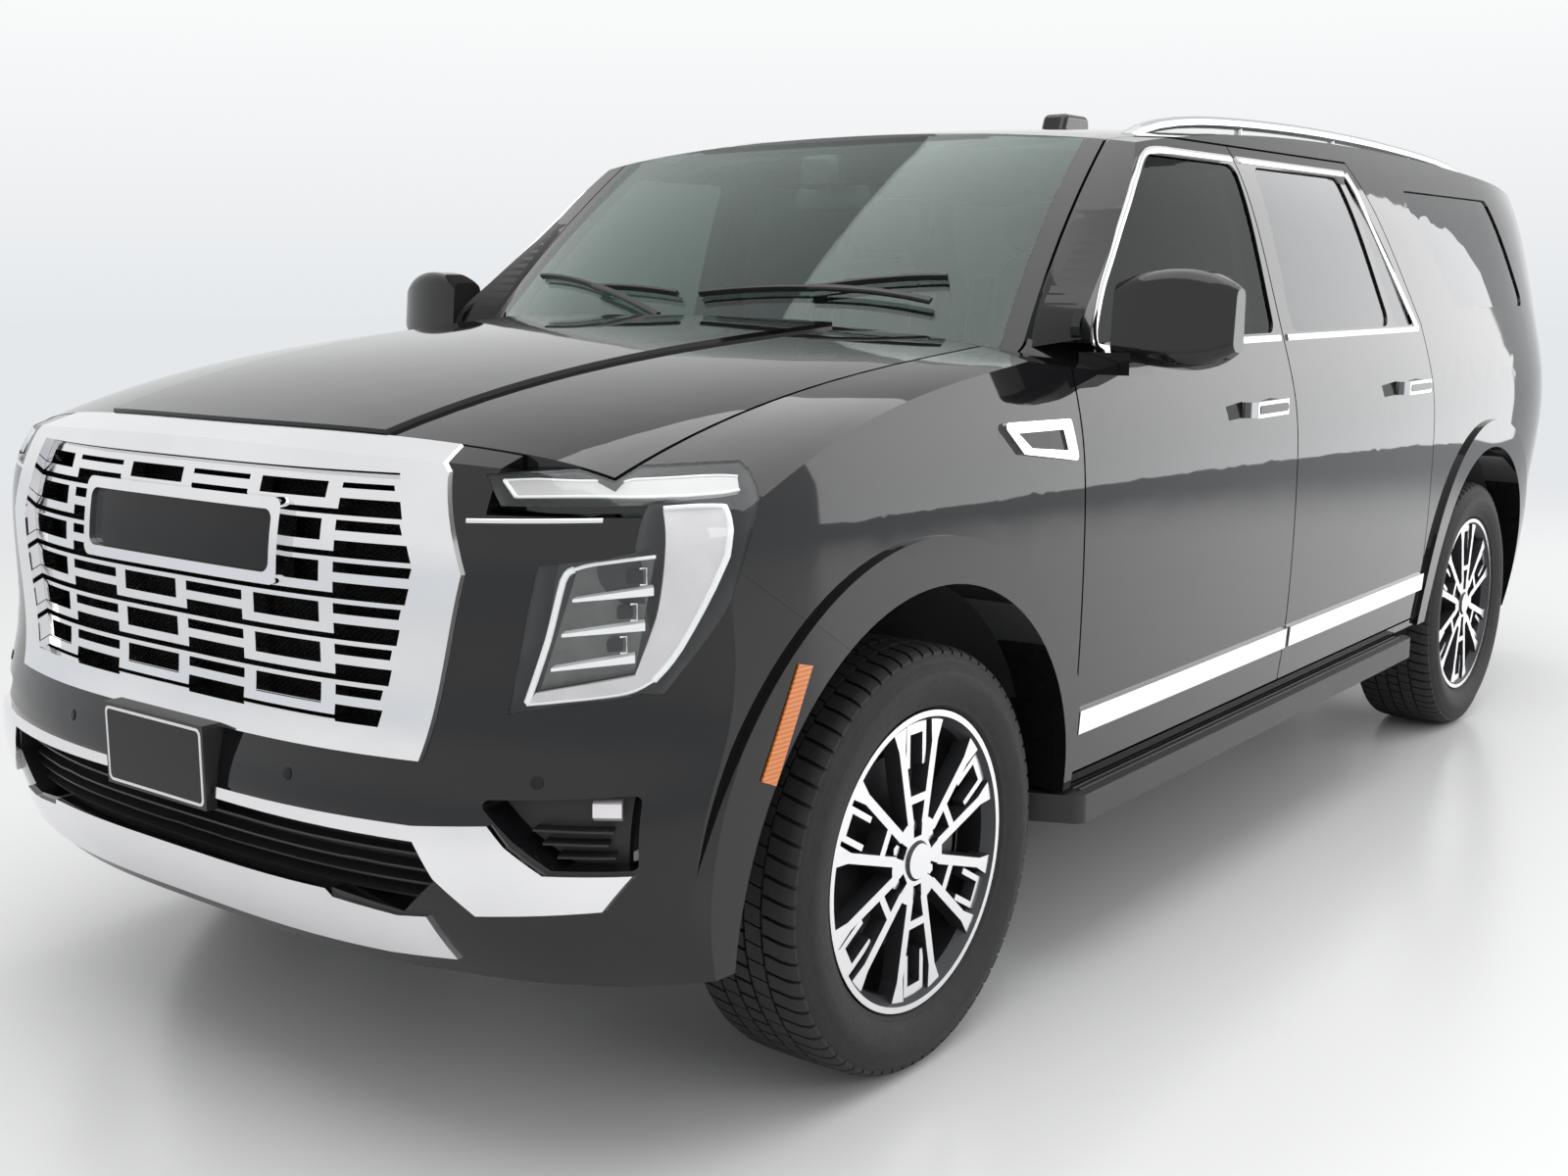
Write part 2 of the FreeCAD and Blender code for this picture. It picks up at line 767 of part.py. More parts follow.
def tailgate_cutter(grow):
    low = d.tailgate_half_low + grow
    belt = d.tailgate_half_belt + grow
    top = d.tailgate_half_top + grow
    bottom = d.tailgate_bottom - grow
    return front_prism([(-low, bottom), (-belt, d.belt_height), (-top, roof_z), (top, roof_z),
                        (belt, d.belt_height), (low, bottom)],
                       tail_x - overrun, d.tail_plane_x - gap / 2 + grow)


sizes(
    dome_half_front=330.0,
    dome_half_rear=470.0,
    dome_rise=9.0,
    dome_slope=36.0,
)


def hood_dome():
    """The raised middle of the hood, its flanks sloping down to the panel."""
    wires = []
    for x, half in ((d.hood_lip_x + overrun, d.dome_half_front), (d.hood_rear_x - overrun, d.dome_half_rear)):
        low_z = d.hood_front_height - overrun
        corners = [Vector(x, -half - d.dome_slope * 2, low_z), Vector(x, -half, roof_z),
                   Vector(x, half, roof_z), Vector(x, half + d.dome_slope * 2, low_z)]
        wires.append(Part.makePolygon(corners + corners[:1]))
    raised = outer_profile.copy()
    raised.translate(Vector(0, 0, d.dome_rise))
    dome = Part.makeLoft(wires, True, True).common(raised)
    sunk = outer_profile.copy()
    sunk.translate(Vector(0, 0, -d.dome_rise))
    return dome.common(hood_cutter(0)).cut(sunk)


hood = keep_largest(panel(hood_cutter(0)).fuse(hood_dome()))
node("hood", hood)

roof_slab = panel(roof_cutter(0)).cut(windshield_cutter(0))
roof_slab = keep_largest(roof_slab.common(block(tail_x - overrun, d.glass_top_x + overrun, -half_width, half_width,
                                                d.belt_height + overrun, roof_z)))
sizes(
    antenna_x=-300.0,
    antenna_length=210.0,
    antenna_wide=84.0,
    antenna_tall=72.0,
)


def antenna():
    """A low fin on the roof's centre line."""
    z = d.roof_height - d.roof_wall
    rear = d.antenna_x - d.antenna_length
    tall = d.antenna_tall + d.roof_wall
    outline = [Vector(d.antenna_x, 0, z), Vector(d.antenna_x - d.antenna_length * 0.22, 0, z + tall),
               Vector(rear + d.antenna_length * 0.08, 0, z + tall), Vector(rear, 0, z)]
    fin = Part.Face(rounded_outline(outline, d.antenna_tall * 0.3)).extrude(Vector(0, d.antenna_wide, 0))
    fin.translate(Vector(0, -d.antenna_wide / 2, 0))
    fin = fin.makeFillet(d.antenna_wide * 0.2, fin.Edges)
    return fin.cut(inner_profile)


node("roof_panel", keep_largest(roof_slab.fuse(antenna())))

glass_profile = outer_profile.copy()
glass_shift = Vector(-d.glass_thickness, 0, -d.glass_thickness)
glass_under = outer_profile.copy()
glass_under.translate(glass_shift)
windshield = windshield_cutter(d.seat_clearance).common(outer_body).cut(glass_under)
windshield = keep_largest(windshield)
node("windshield", windshield)

tailgate_panel = panel(tailgate_cutter(0))
rear_window_corners = [
    (-d.rear_window_half, d.rear_window_low), (-d.rear_window_half * 0.93, d.rear_window_top),
    (d.rear_window_half * 0.93, d.rear_window_top), (d.rear_window_half, d.rear_window_low)]


def rear_window_cutter():
    return front_prism(rear_window_corners, tail_x - overrun, d.tail_plane_x + overrun, d.window_radius * 2)


tailgate = keep_largest(tailgate_panel.cut(rear_window_cutter()))
node("tailgate", tailgate)
glass_ahead = outer_profile.copy()
glass_ahead.translate(Vector(d.glass_thickness * 2, 0, 0))
glass_face = outer_profile.copy()
glass_face.translate(Vector(d.glass_thickness, 0, 0))
tailgate_glass = keep_largest(rear_window_cutter().common(glass_face).cut(glass_ahead))
node("tailgate_glass", tailgate_glass)

# Nose: bumper, grille, lamps

sizes(
    seam_arch_x=2205.0,
    seam_arch_height=905.0,
    seam_lamp_x=2440.0,
    seam_lamp_height=1052.0,
    bumper_top=1150.0,
    cowl_half=862.0,
    cowl_deep=120.0,
    bumper_bottom=372.0,
    grille_top=1268.0,
    grille_shoulder=1208.0,
    grille_waist=1050.0,
    grille_low=745.0,
    grille_cap_half=548.0,
    grille_shoulder_half=614.0,
    grille_waist_half=668.0,
    grille_low_half=600.0,
    surround_side=84.0,
    surround_low=46.0,
    surround_rise=10.0,
    opening_top=1203.0,
    lamp_depth=120.0,
    intake_top=618.0,
    intake_low=486.0,
    intake_half=637.0,
    fog_inner=700.0,
    fog_outer=928.0,
    fog_top=707.0,
    fog_low=586.0,
    wing_inner=161.0,
    wing_turn=605.0,
    wing_tip=926.0,
    wing_low=520.0,
    wing_height=634.0,
    wing_bar=20.0,
    skid_top=507.0,
    skid_low=400.0,
    skid_half=640.0,
    trim_rise=12.0,
    vent_back=60.0,
    vent_length=266.0,
    vent_low=1146.0,
    vent_top=1232.0,
    vent_bar=18.0,
)


def symmetric(right):
    """A closed outline across the nose from its right half, from the top down."""
    return right + [(-y, z) for y, z in reversed(right)]


def grille_outline(shrink):
    """Outer edge of the bright surround, from the hood's front edge down."""
    return symmetric([
        (d.grille_cap_half - shrink, d.grille_top - shrink),
        (d.grille_shoulder_half - shrink, d.grille_shoulder),
        (d.grille_waist_half - shrink, d.grille_waist),
        (d.grille_low_half - shrink, d.grille_low + shrink),
    ])


def opening_outline(shrink):
    """Inner edge of the bright surround."""
    side = d.surround_side + shrink
    return symmetric([
        (d.grille_shoulder_half - side, d.opening_top - shrink),
        (d.grille_waist_half - side, d.grille_waist),
        (d.grille_low_half - side, d.grille_low + d.surround_low + shrink),
    ])


# Lamp seen from the front: half width and height there, as shares.
lamp_front_shares = [
    (0.652, 0.998), (0.806, 1.008), (1.060, 1.014), (1.060, 0.700), (0.888, 0.717),
    (0.713, 0.687), (0.758, 0.884), (0.846, 0.896), (0.880, 0.904), (0.880, 0.962), (0.690, 0.959),
]
# Rear edge of the lamp seen from the side: distance ahead of the axle and height, as shares.
lamp_side_shares = [
    (0.905, 1.060), (0.920, 0.998), (1.057, 0.875), (1.123, 0.815), (1.263, 0.717), (1.330, 0.600),
]


def lamp_prism(grow):
    """The space of one lamp: its outline from the front, cut off behind its rear edge."""
    points = [Vector(front_axle_x, half_width * y, d.grille_shoulder * z) for y, z in lamp_front_shares]
    wire = Part.makePolygon(points + points[:1])
    if grow:
        wire = wire.makeOffset2D(grow, 2)
    front = Part.Face(wire).extrude(Vector(nose_x, 0, 0))
    edge = [(front_axle_x + d.arch_radius * x - grow, d.grille_shoulder * z) for x, z in lamp_side_shares]
    ahead = nose_x + overrun
    side = side_prism(edge + [(ahead, edge[-1][1]), (ahead, edge[0][1])], 0.0, half_width + overrun)
    return front.common(side)


# Seam between fender and bumper, seen from the side, with what lies ahead of it.
seam_line = [(d.seam_arch_x, d.seam_arch_height), (d.seam_lamp_x, d.seam_lamp_height)]
seam_inner_height = d.seam_arch_height - overrun


def bumper_region():
    """The nose ahead of the seam, less the strips above the lamps."""
    ahead = nose_x + overrun
    top = d.bumper_top + overrun
    region = side_prism([
        (front_axle_x, d.bumper_bottom), (front_axle_x, seam_inner_height), seam_line[0], seam_line[1],
        (seam_line[1][0], top), (ahead, top), (ahead, d.bumper_bottom),
    ], -half_width - overrun, half_width + overrun)
    strip = block(front_axle_x, ahead, half_width * 0.67, half_width + overrun, d.bumper_top - gap, top)
    return region.cut([strip, mirrored(strip)])


def fender_region():
    """The left wing: from the door to the seam, with the strip above the lamp."""
    top = d.hood_rear_height + overrun
    seam = d.seat_clearance
    ahead = seam_line[1][0] + overrun
    region = side_prism([
        (front_door_x + gap, d.sill_low), (front_door_x + gap, top), (ahead, top), (ahead, d.bumper_top),
        (seam_line[1][0] - seam, d.bumper_top), (seam_line[1][0] - seam, seam_line[1][1] + seam),
        (seam_line[0][0] - seam, seam_line[0][1] + seam), (front_axle_x, seam_inner_height + seam), (front_axle_x, d.sill_low),
    ], half_width * 0.67, half_width + overrun)
    return region.cut(side_prism([
        (front_door_x - overrun, pillar_foot[1]), (d.hood_rear_x, d.hood_rear_height + gap),
        (d.hood_rear_x, top + overrun), (front_door_x - overrun, top + overrun),
    ], 0.0, half_width + 2 * overrun)).cut([windshield_cutter(-d.pillar_wide), cowl_cutter(seam)])


def cowl_cutter(grow):
    """The strip between the hood and the windshield, seen from above."""
    front = d.hood_rear_x - gap + grow
    half = d.cowl_half + grow
    low = d.belt_height - d.cowl_deep
    strip = block(front - overrun * 1.4, front, -half, half, low, roof_z)
    return strip.cut(ahead_of_glass(gap - d.seat_clearance))


fascia = panel(bumper_region())
grille_hole = front_prism(grille_outline(0), front_axle_x, nose_x + overrun)
hood_space = hood_cutter(gap)
lamp_space = lamp_prism(d.seat_clearance)
lamp_spaces = [lamp_space, mirrored(lamp_space)]
intake_hole = front_prism(symmetric([
    (d.intake_half * 0.94, d.intake_top), (d.intake_half, spread(d.intake_low, d.intake_top, 0.55)),
    (d.intake_half * 0.88, d.intake_low), (d.intake_half * 0.66, d.intake_low + d.wing_bar),
]), front_axle_x, nose_x + overrun)
fog_width = d.fog_outer - d.fog_inner
fog_corners = [
    (d.fog_inner, d.fog_top - d.wing_bar * 0.7), (d.fog_outer, d.fog_top), (d.fog_outer, d.fog_low),
    (d.fog_inner + fog_width * 0.52, d.fog_low), (d.fog_inner + fog_width * 0.28, spread(d.fog_low, d.fog_top, 0.36)),
    (d.fog_inner + fog_width * 0.16, spread(d.fog_low, d.fog_top, 0.58)),
]
fog_hole = front_prism(fog_corners, front_axle_x + d.arch_radius, nose_x + overrun, d.wing_bar / 2)
fascia = keep_largest(fascia.cut([grille_hole, hood_space, intake_hole, fog_hole, mirrored(fog_hole)] + lamp_spaces))
node("front_bumper", fascia)

fender = panel(fender_region()).cut([hood_space, lamp_space])
fender = keep_largest(fender)
node("front_fenders", both_sides(fender))
cowl = keep_largest(panel(cowl_cutter(0)).cut([front_door_hole, mirrored(front_door_hole)]))
node("cowl_panel", cowl)

lamp = lamp_prism(0).common(outer_body).cut(inner_body).cut(hood_space)
lamp = keep_largest(lamp)
node("headlamps", both_sides(lamp))


def nose_layer(front, depth):
    """A layer that follows the nose, moved forward and then so many millimetres deep."""
    ahead = outer_profile.copy()
    ahead.translate(Vector(front, 0, 0))
    behind = outer_profile.copy()
    behind.translate(Vector(front - depth, 0, 0))
    return ahead, behind


def following_nose(cutter, front, depth):
    ahead, behind = nose_layer(front, depth)
    return cutter.common(ahead).cut(behind)


ring = front_prism(grille_outline(d.seat_clearance), front_axle_x + d.arch_radius, nose_x + overrun)
opening = front_prism(opening_outline(0), front_axle_x + d.arch_radius, nose_x + 2 * overrun)
surround = following_nose(ring.cut(opening), d.surround_rise, d.surround_rise + d.nose_wall).cut(hood_space)

# Bright wings under the lamps and the bright bar under the lower intake
wing_corners = [
    (d.wing_inner, d.wing_height + d.wing_bar / 2), (d.wing_turn, d.wing_height + d.wing_bar / 2),
    (fog_corners[5][0] - gap, fog_corners[5][1]), (fog_corners[4][0] - gap, fog_corners[4][1] - gap),
    (fog_corners[3][0] - gap, d.fog_low - gap), (d.wing_tip, d.fog_low - gap),
    (d.wing_tip - d.wing_bar * 2, d.wing_low), (d.fog_inner, d.wing_low - d.wing_bar),
    (d.intake_half, spread(d.intake_low, d.intake_top, 0.55)), (d.wing_turn, d.intake_top),
    (d.wing_inner, d.wing_height - d.wing_bar / 2),
]
wing = front_prism(wing_corners, front_axle_x + d.arch_radius, nose_x + overrun)
wing = keep_largest(wing.common(nose_layer(d.trim_rise, 0.0)[0]).cut(outer_profile).common(outer_sides))
skid = front_prism(symmetric([
    (d.skid_half * 0.65, d.skid_top), (d.skid_half * 0.67, d.skid_top - d.wing_bar * 0.7),
    (d.skid_half * 0.87, d.skid_top - d.wing_bar * 1.3), (d.skid_half * 0.955, d.skid_top - d.wing_bar),
    (d.skid_half, d.skid_low + d.wing_bar * 0.4), (d.skid_half * 0.80, d.skid_low),
]), front_axle_x + d.arch_radius, nose_x + overrun)
skid = keep_largest(skid.common(nose_layer(d.trim_rise, 0.0)[0]).cut(outer_profile))

# Bright frame and dark infill of the vent on each front fender
vent_corners = [
    (front_door_x + d.vent_back, d.vent_top), (front_door_x + d.vent_back - d.vent_bar, d.vent_low),
    (front_door_x + d.vent_back + d.vent_length * 0.74, d.vent_low + d.vent_bar * 1.6),
    (front_door_x + d.vent_back + d.vent_length, d.vent_top + d.vent_bar * 0.4),
]
vent_skin = side_loft(d.strip_rise, 0.0, 0.0)
vent_outer = side_prism(vent_corners, half_width * 0.85, half_width + overrun, d.vent_bar / 2)
vent_centre = (front_door_x + d.vent_back + d.vent_length * 0.40, spread(d.vent_low, d.vent_top, 0.55))
vent_inner = side_prism([
    (spread(vent_centre[0], x, 0.66), spread(vent_centre[1], z, 0.50)) for x, z in vent_corners
], half_width * 0.85, half_width + overrun)
vent_frame = keep_largest(vent_outer.cut(vent_inner).common(vent_skin).cut(outer_sides))
vent_fill = keep_largest(vent_inner.common(side_loft(d.strip_rise / 2, 0.0, 0.0)).cut(outer_sides))
node("fender_vents", both_sides(vent_fill))

# Amber marker on the lip of each front wheel arch
sizes(
    marker_low=687.0,
    marker_top=885.0,
    marker_back=348.0,
    marker_lean=88.0,
    marker_wide=36.0,
    marker_proud=3.0,
)
marker_x = nose_x - d.marker_lean * 2 - d.marker_back
marker_corners = [
    (marker_x, d.marker_top), (marker_x - d.marker_wide, d.marker_top - d.marker_proud * 3),
    (marker_x + d.marker_lean - d.marker_wide, d.marker_low), (marker_x + d.marker_lean, d.marker_low + d.marker_proud * 5),
]
marker = side_prism(marker_corners, half_width * 0.75, half_width + overrun)
marker = marker.common(side_loft(d.flare_rise + d.marker_proud, 0.0, 0.0)).common(outer_profile)
node("side_markers", both_sides(keep_largest(marker.cut([outer_sides, outer_body]))))
bright = surround.Solids + [wing, mirrored(wing), skid, vent_frame, mirrored(vent_frame)]
node("front_brightwork", Part.makeCompound(bright))

# Number plate holder at the front and the towing receiver at the rear
sizes(
    plate_wide=305.0,
    plate_tall=152.0,
    plate_centre=676.0,
    receiver_outer=32.0,
    receiver_bore=25.4,
    receiver_length=210.0,
    receiver_height=452.0,
    cross_wide=90.0,
)
plate = block(nose_x - d.nose_wall, d.body_length / 2, -d.plate_wide / 2, d.plate_wide / 2,
              d.plate_centre - d.plate_tall / 2, d.plate_centre + d.plate_tall / 2)
node("plate_holder", keep_largest(plate.cut([outer_profile, wing, mirrored(wing), surround])))
receiver_x = -d.body_length / 2
receiver = block(receiver_x, receiver_x + d.receiver_length, -d.receiver_outer, d.receiver_outer,
                 d.receiver_height - d.receiver_outer, d.receiver_height + d.receiver_outer)
receiver_hole = block(receiver_x, receiver_x + d.receiver_length, -d.receiver_bore, d.receiver_bore,
                      d.receiver_height - d.receiver_bore, d.receiver_height + d.receiver_bore)

# Radiator support across the nose: legs on the frame rails, a beam and two pads under the hood
sizes(
    support_back=300.0,
    support_deep=60.0,
    support_half=690.0,
    support_low=960.0,
    support_tall=60.0,
    pad_half=420.0,
)
support_x = d.body_length / 2 - d.support_back
under_hood = inner_body.copy()
under_hood.translate(Vector(0, 0, -d.seat_clearance))
support_parts = [block(support_x - d.support_deep, support_x, -d.support_half, d.support_half,
                       d.support_low, d.support_low + d.support_tall)]
for side in (-1, 1):
    support_parts.append(block(support_x - d.support_deep, support_x, (d.rail_centre - d.support_deep / 2) * side,
                               (d.rail_centre + d.support_deep / 2) * side, rail_top + d.seat_clearance, d.support_low + gap))
    pad = block(support_x - d.support_deep, support_x, (d.pad_half - d.support_deep) * side, d.pad_half * side,
                d.support_low, d.roof_height)
    support_parts.append(pad.common(under_hood))
node("radiator_support", joined(support_parts).common(inner_body))

# Grille of stacked open frames around a plain plaque
sizes(
    grille_rows=6,
    slat_tall=8.0,
    lip_tall=16.0,
    slat_deep=26.0,
    slat_recess=12.0,
    post_wide=32.0,
    backing=8.0,
    plaque_half=292.0,
    plaque_low=1004.0,
    plaque_top=1150.0,
    plaque_frame=20.0,
)
# Columns of the grille: where each post stands, as shares of the half width at the waist.
post_shares = [-0.87, -0.58, -0.29, 0.0, 0.29, 0.58, 0.87]
# Height of the frames in two columns side by side, as shares of a row.
frame_tall_shares = [0.86, 0.60]


def plaque_prism(margin):
    half = d.plaque_half - margin
    low = d.plaque_low + margin
    top = d.plaque_top - margin
    return front_prism([(-half, low), (-half, top), (half, top), (half, low)],
                       front_axle_x + d.arch_radius, nose_x + overrun, d.plaque_frame * 0.9)


def across(y_from, y_to, z_from, z_to):
    """A block right through the nose."""
    return block(front_axle_x, nose_x + overrun, y_from, y_to, z_from, z_to)


def grille_cells():
    """Six rows of open frames; every second frame in a row is shorter, as bricks are laid."""
    rows = int(d.grille_rows)
    pitch = (d.opening_top - d.grille_low - d.surround_low) / rows
    posts = [d.grille_waist_half * share for share in post_shares]
    inner = front_prism(opening_outline(d.seat_clearance), front_axle_x, nose_x + overrun)
    core = front_prism(opening_outline(d.post_wide * 0.7), front_axle_x, nose_x + 2 * overrun)
    rim_band = inner.cut(core)
    cells = []
    for row in range(rows):
        top = d.opening_top - gap - pitch * row
        cells.append(across(posts[0], posts[-1], top - d.slat_tall, top))
        low_all = top - pitch * frame_tall_shares[1]
        cells.append(rim_band.common(across(-half_width, half_width, low_all, top)))
        for column in range(len(posts) - 1):
            low = top - pitch * frame_tall_shares[column % 2]
            cells.append(across(posts[column], posts[column + 1], low, low + d.lip_tall))
        for y in posts[1:-1]:
            low = top - pitch * frame_tall_shares[0]
            cells.append(across(y - d.post_wide / 2, y + d.post_wide / 2, low, top))
    layer = inner.common(nose_layer(-d.slat_recess, 0.0)[0]).cut(nose_layer(-d.slat_recess - d.slat_deep, 0.0)[0])
    return layer.common(cells[0].fuse(cells[1:])).cut(plaque_prism(d.plaque_frame / 2))


bars = grille_cells()
plaque_ring = following_nose(plaque_prism(0).cut(plaque_prism(d.plaque_frame)), gap, d.slat_deep + d.slat_recess)
bars = bars.fuse(plaque_ring)
plaque = following_nose(plaque_prism(d.plaque_frame + d.seat_clearance), -gap, d.backing)
node("grille_bars", Part.makeCompound(bars.Solids))
node("grille_plaque", keep_largest(plaque))
backing = front_prism(grille_outline(0), front_axle_x + d.arch_radius, nose_x + overrun)
backing = following_nose(backing, -d.nose_wall - d.seat_clearance, d.backing).common(inner_body).cut(hood_space)
node("grille_backing", keep_largest(backing))

# Black lower intake with its slats, and the pockets beside it
intake_back = front_prism([
    (-d.intake_half - gap, d.intake_low - gap * 2), (-d.intake_half - gap, d.intake_top + gap * 2),
    (d.intake_half + gap, d.intake_top + gap * 2), (d.intake_half + gap, d.intake_low - gap * 2),
], front_axle_x + d.arch_radius, nose_x + overrun)
intake_plate = following_nose(intake_back, -d.nose_wall - d.seat_clearance, d.backing)
fog_back = front_prism([
    (d.fog_inner - gap, d.fog_top + gap), (d.fog_outer + gap, d.fog_top + gap),
    (d.fog_outer + gap, d.fog_low - gap), (d.fog_inner - gap, d.fog_low - gap),
], front_axle_x + d.arch_radius * 0.9, nose_x + overrun)
fog_plate = keep_largest(following_nose(fog_back, -d.nose_wall - d.seat_clearance, d.backing).common(inner_body))
intake_plate = keep_largest(intake_plate.common(inner_body))
node("lower_intake", Part.makeCompound([intake_plate, fog_plate, mirrored(fog_plate)]))

# Rear bumper and tail lamps

sizes(
    rear_bumper_front_x=-2290.0,
    rear_bumper_top=790.0,
    tail_lamp_low=905.0,
    tail_lamp_top=1430.0,
    tail_lamp_front_x=-2560.0,
)
rear_bumper_cutter = block(tail_x - overrun, d.rear_bumper_front_x, -half_width - overrun, half_width + overrun,
                           d.sill_height, d.rear_bumper_top)
receiver_gap = block(receiver_x, receiver_x + d.receiver_length * 2, -d.receiver_outer - gap, d.receiver_outer + gap,
                     d.sill_height - overrun, d.receiver_height + d.receiver_outer + gap)
beam_gap = block(receiver_x + d.receiver_length - d.cross_wide - gap, receiver_x + d.receiver_length * 2,
                 -d.rail_centre - d.rail_wide, d.rail_centre + d.rail_wide,
                 d.sill_height - overrun, d.rail_low + d.rail_tall + d.cross_wide)
rear_bumper = keep_largest(panel(rear_bumper_cutter).cut([receiver_gap, beam_gap]))
node("rear_bumper", rear_bumper)
tail_lamp_cutter = block(tail_x - overrun, d.tail_lamp_front_x, d.tailgate_half_belt + gap, half_width + overrun,
                         d.tail_lamp_low, d.tail_lamp_top)
tail_lamp_space = block(tail_x - overrun, d.tail_lamp_front_x + d.seat_clearance, d.tailgate_half_low, half_width + overrun,
                        d.tail_lamp_low - d.seat_clearance, d.tail_lamp_top + d.seat_clearance)
tail_lamp = keep_largest(panel(tail_lamp_cutter))
node("tail_lamps", both_sides(tail_lamp))

# Body sides: pillars, sill and rear quarter in one piece

side_half = block(tail_x - overrun, d.hood_rear_x + gap, half_width * 0.5, half_width + overrun,
                  d.sill_height - overrun, roof_z)
side_panel = panel(side_half)
front_cut = side_prism([
    (front_door_x + gap - d.seat_clearance, d.sill_height - overrun), (front_door_x + gap - d.seat_clearance, pillar_foot[1]),
    (d.hood_rear_x + gap, d.hood_rear_height + gap * 2), (nose_x, d.hood_rear_height + gap * 2),
    (nose_x, d.sill_height - overrun),
], half_width * 0.4, half_width + overrun)
sizes(
    jamb_wide=44.0,
    jamb_thick=10.0,
)
seam = d.seat_clearance
rear_cut = block(tail_x - 2 * overrun, d.rear_bumper_front_x + seam, 0.0, half_width + 2 * overrun,
                 d.sill_height - 2 * overrun, d.rear_bumper_top + seam)
under_sill = block(rear_axle_x, nose_x, 0.0, half_width + 2 * overrun, d.sill_height - 2 * overrun, d.sill_low)
side_panel = side_panel.cut([
    front_door_hole, rear_door_hole, window_cutter(quarter_window), roof_cutter(d.seat_clearance),
    windshield_cutter(0), tailgate_cutter(gap), rear_cut, tail_lamp_space, front_cut, under_sill, cowl_cutter(gap),
])
jamb_zone = block(tail_x, d.tail_plane_x, d.tailgate_half_low - d.jamb_wide, d.tailgate_half_low + d.jamb_wide,
                  d.tailgate_bottom + d.jamb_wide, d.belt_height - d.jamb_wide)
seal_face = inner_body.copy()
seal_face.translate(Vector(d.seat_clearance, 0, 0))
seal_back = inner_body.copy()
seal_back.translate(Vector(d.seat_clearance + d.jamb_thick, 0, 0))
jamb = keep_largest(jamb_zone.common(seal_face).cut(seal_back))
corner_post = block(tail_x, d.tail_plane_x, d.tailgate_half_belt + gap * 2, d.tailgate_half_low + d.jamb_wide,
                    d.tailgate_bottom + d.jamb_wide, d.belt_height - d.jamb_wide).common(inner_body).cut(seal_back)
sizes(
    pillar_deep=30.0,
    pillar_length=62.0,
)


def centre_pillar():
    """The post behind the meeting of the doors, hung from the roof's edge down to the floor."""
    front = door_split_x + d.pillar_length / 2
    post = block(front - d.pillar_length, front, half_width * 0.5, half_width,
                 d.door_bottom - gap + d.seat_clearance, d.door_top + d.jamb_wide)
    head = block(front - d.pillar_length, front, half_width * 0.5, half_width,
                 d.door_top + gap * 1.5, d.door_top + d.jamb_wide)
    near = inner_body.copy()
    near.translate(Vector(0, -gap, 0))
    far = inner_body.copy()
    far.translate(Vector(0, -gap - d.pillar_deep, 0))
    return post.common(near).cut(far).fuse(head.common(outer_body).cut(far)).cut(roof_cutter(d.seat_clearance))


body_side = keep_largest(side_panel.fuse([jamb, corner_post, centre_pillar()]))
node("body_side_left", body_side)
node("body_side_right", mirrored(body_side))
quarter_glass = side_glass(quarter_window)
node("quarter_glass", both_sides(quarter_glass))

# Floor, bulkhead and cowl

sizes(
    floor_thick=28.0,
    cargo_floor=800.0,
    cargo_floor_x=-930.0,
    bulkhead_x=1296.0,
    bulkhead_thick=24.0,
    tunnel_half=136.0,
    tunnel_top=668.0,
    tunnel_rear_x=240.0,
)
floor_half = half_width * 0.955 - d.door_wall - gap * 2
floor_low = rail_top + d.seat_clearance
floor_top = floor_low + d.floor_thick
floor = box("FrontFloor", d.cargo_floor_x, d.bulkhead_x, -floor_half, floor_half, floor_low, floor_top)
riser = box("FloorRiser", d.cargo_floor_x - d.floor_thick, d.cargo_floor_x, -floor_half, floor_half,
            floor_low, d.cargo_floor)
cargo_half = d.arch_depth - gap
cargo = box("CargoFloor", tail_x + d.tail_wall * 2.6, d.cargo_floor_x, -cargo_half, cargo_half,
            d.cargo_floor - d.floor_thick, d.cargo_floor)
bulkhead = box("Bulkhead", d.bulkhead_x - d.bulkhead_thick, d.bulkhead_x, -floor_half, floor_half,
               floor_low, d.belt_height - gap * 20)
pan = fused("FloorPlates", [floor, riser, cargo, bulkhead])
tunnel_space = box("TunnelSpace", d.tunnel_rear_x, d.bulkhead_x + overrun, -d.tunnel_half, d.tunnel_half,
                   d.rail_low, d.tunnel_top - d.floor_thick)
tunnel_cover = box("TunnelCover", d.tunnel_rear_x - d.floor_thick, d.bulkhead_x, -d.tunnel_half - d.floor_thick,
                   d.tunnel_half + d.floor_thick, floor_low, d.tunnel_top)
sill_beams = []
for name, side in (("Left", 1), ("Right", -1)):
    low_y = floor_half - d.floor_thick if side > 0 else -floor_half
    sill_beams.append(box("SillBeam" + name, rear_door_x, d.bulkhead_x, low_y, low_y + d.floor_thick, d.sill_low, floor_top))
pan = cut("FloorWithTunnel", fused("FloorAndTunnel", [pan, tunnel_cover] + sill_beams), tunnel_space)
doc.recompute()
ledge = block(rear_door_x, d.bulkhead_x, floor_half - gap, half_width, d.sill_low, d.door_bottom - gap).common(inner_body)
node("floor_pan", joined([pan.Shape, ledge, mirrored(ledge)]))

# Wheel arch liners


def liner(x):
    """A half tube over the wheel, out to the body's wall, with a wall on its inner side."""
    hoop = arch_disc(x, d.arch_radius + d.liner_thickness, d.arch_depth, half_width).cut(
        arch_disc(x, d.arch_radius, d.arch_depth + d.liner_thickness, half_width))
    keep = block(x - d.arch_radius * 2, x + d.arch_radius * 2, 0.0, half_width + overrun,
                 d.arch_height + d.arch_radius * 0.40, d.roof_height)
    return keep_largest(hoop.common(keep).common(inner_body))


liners = [liner(x) for x in arches]
node("arch_liners", Part.makeCompound([s for l in liners for s in both_sides(l).Solids]))

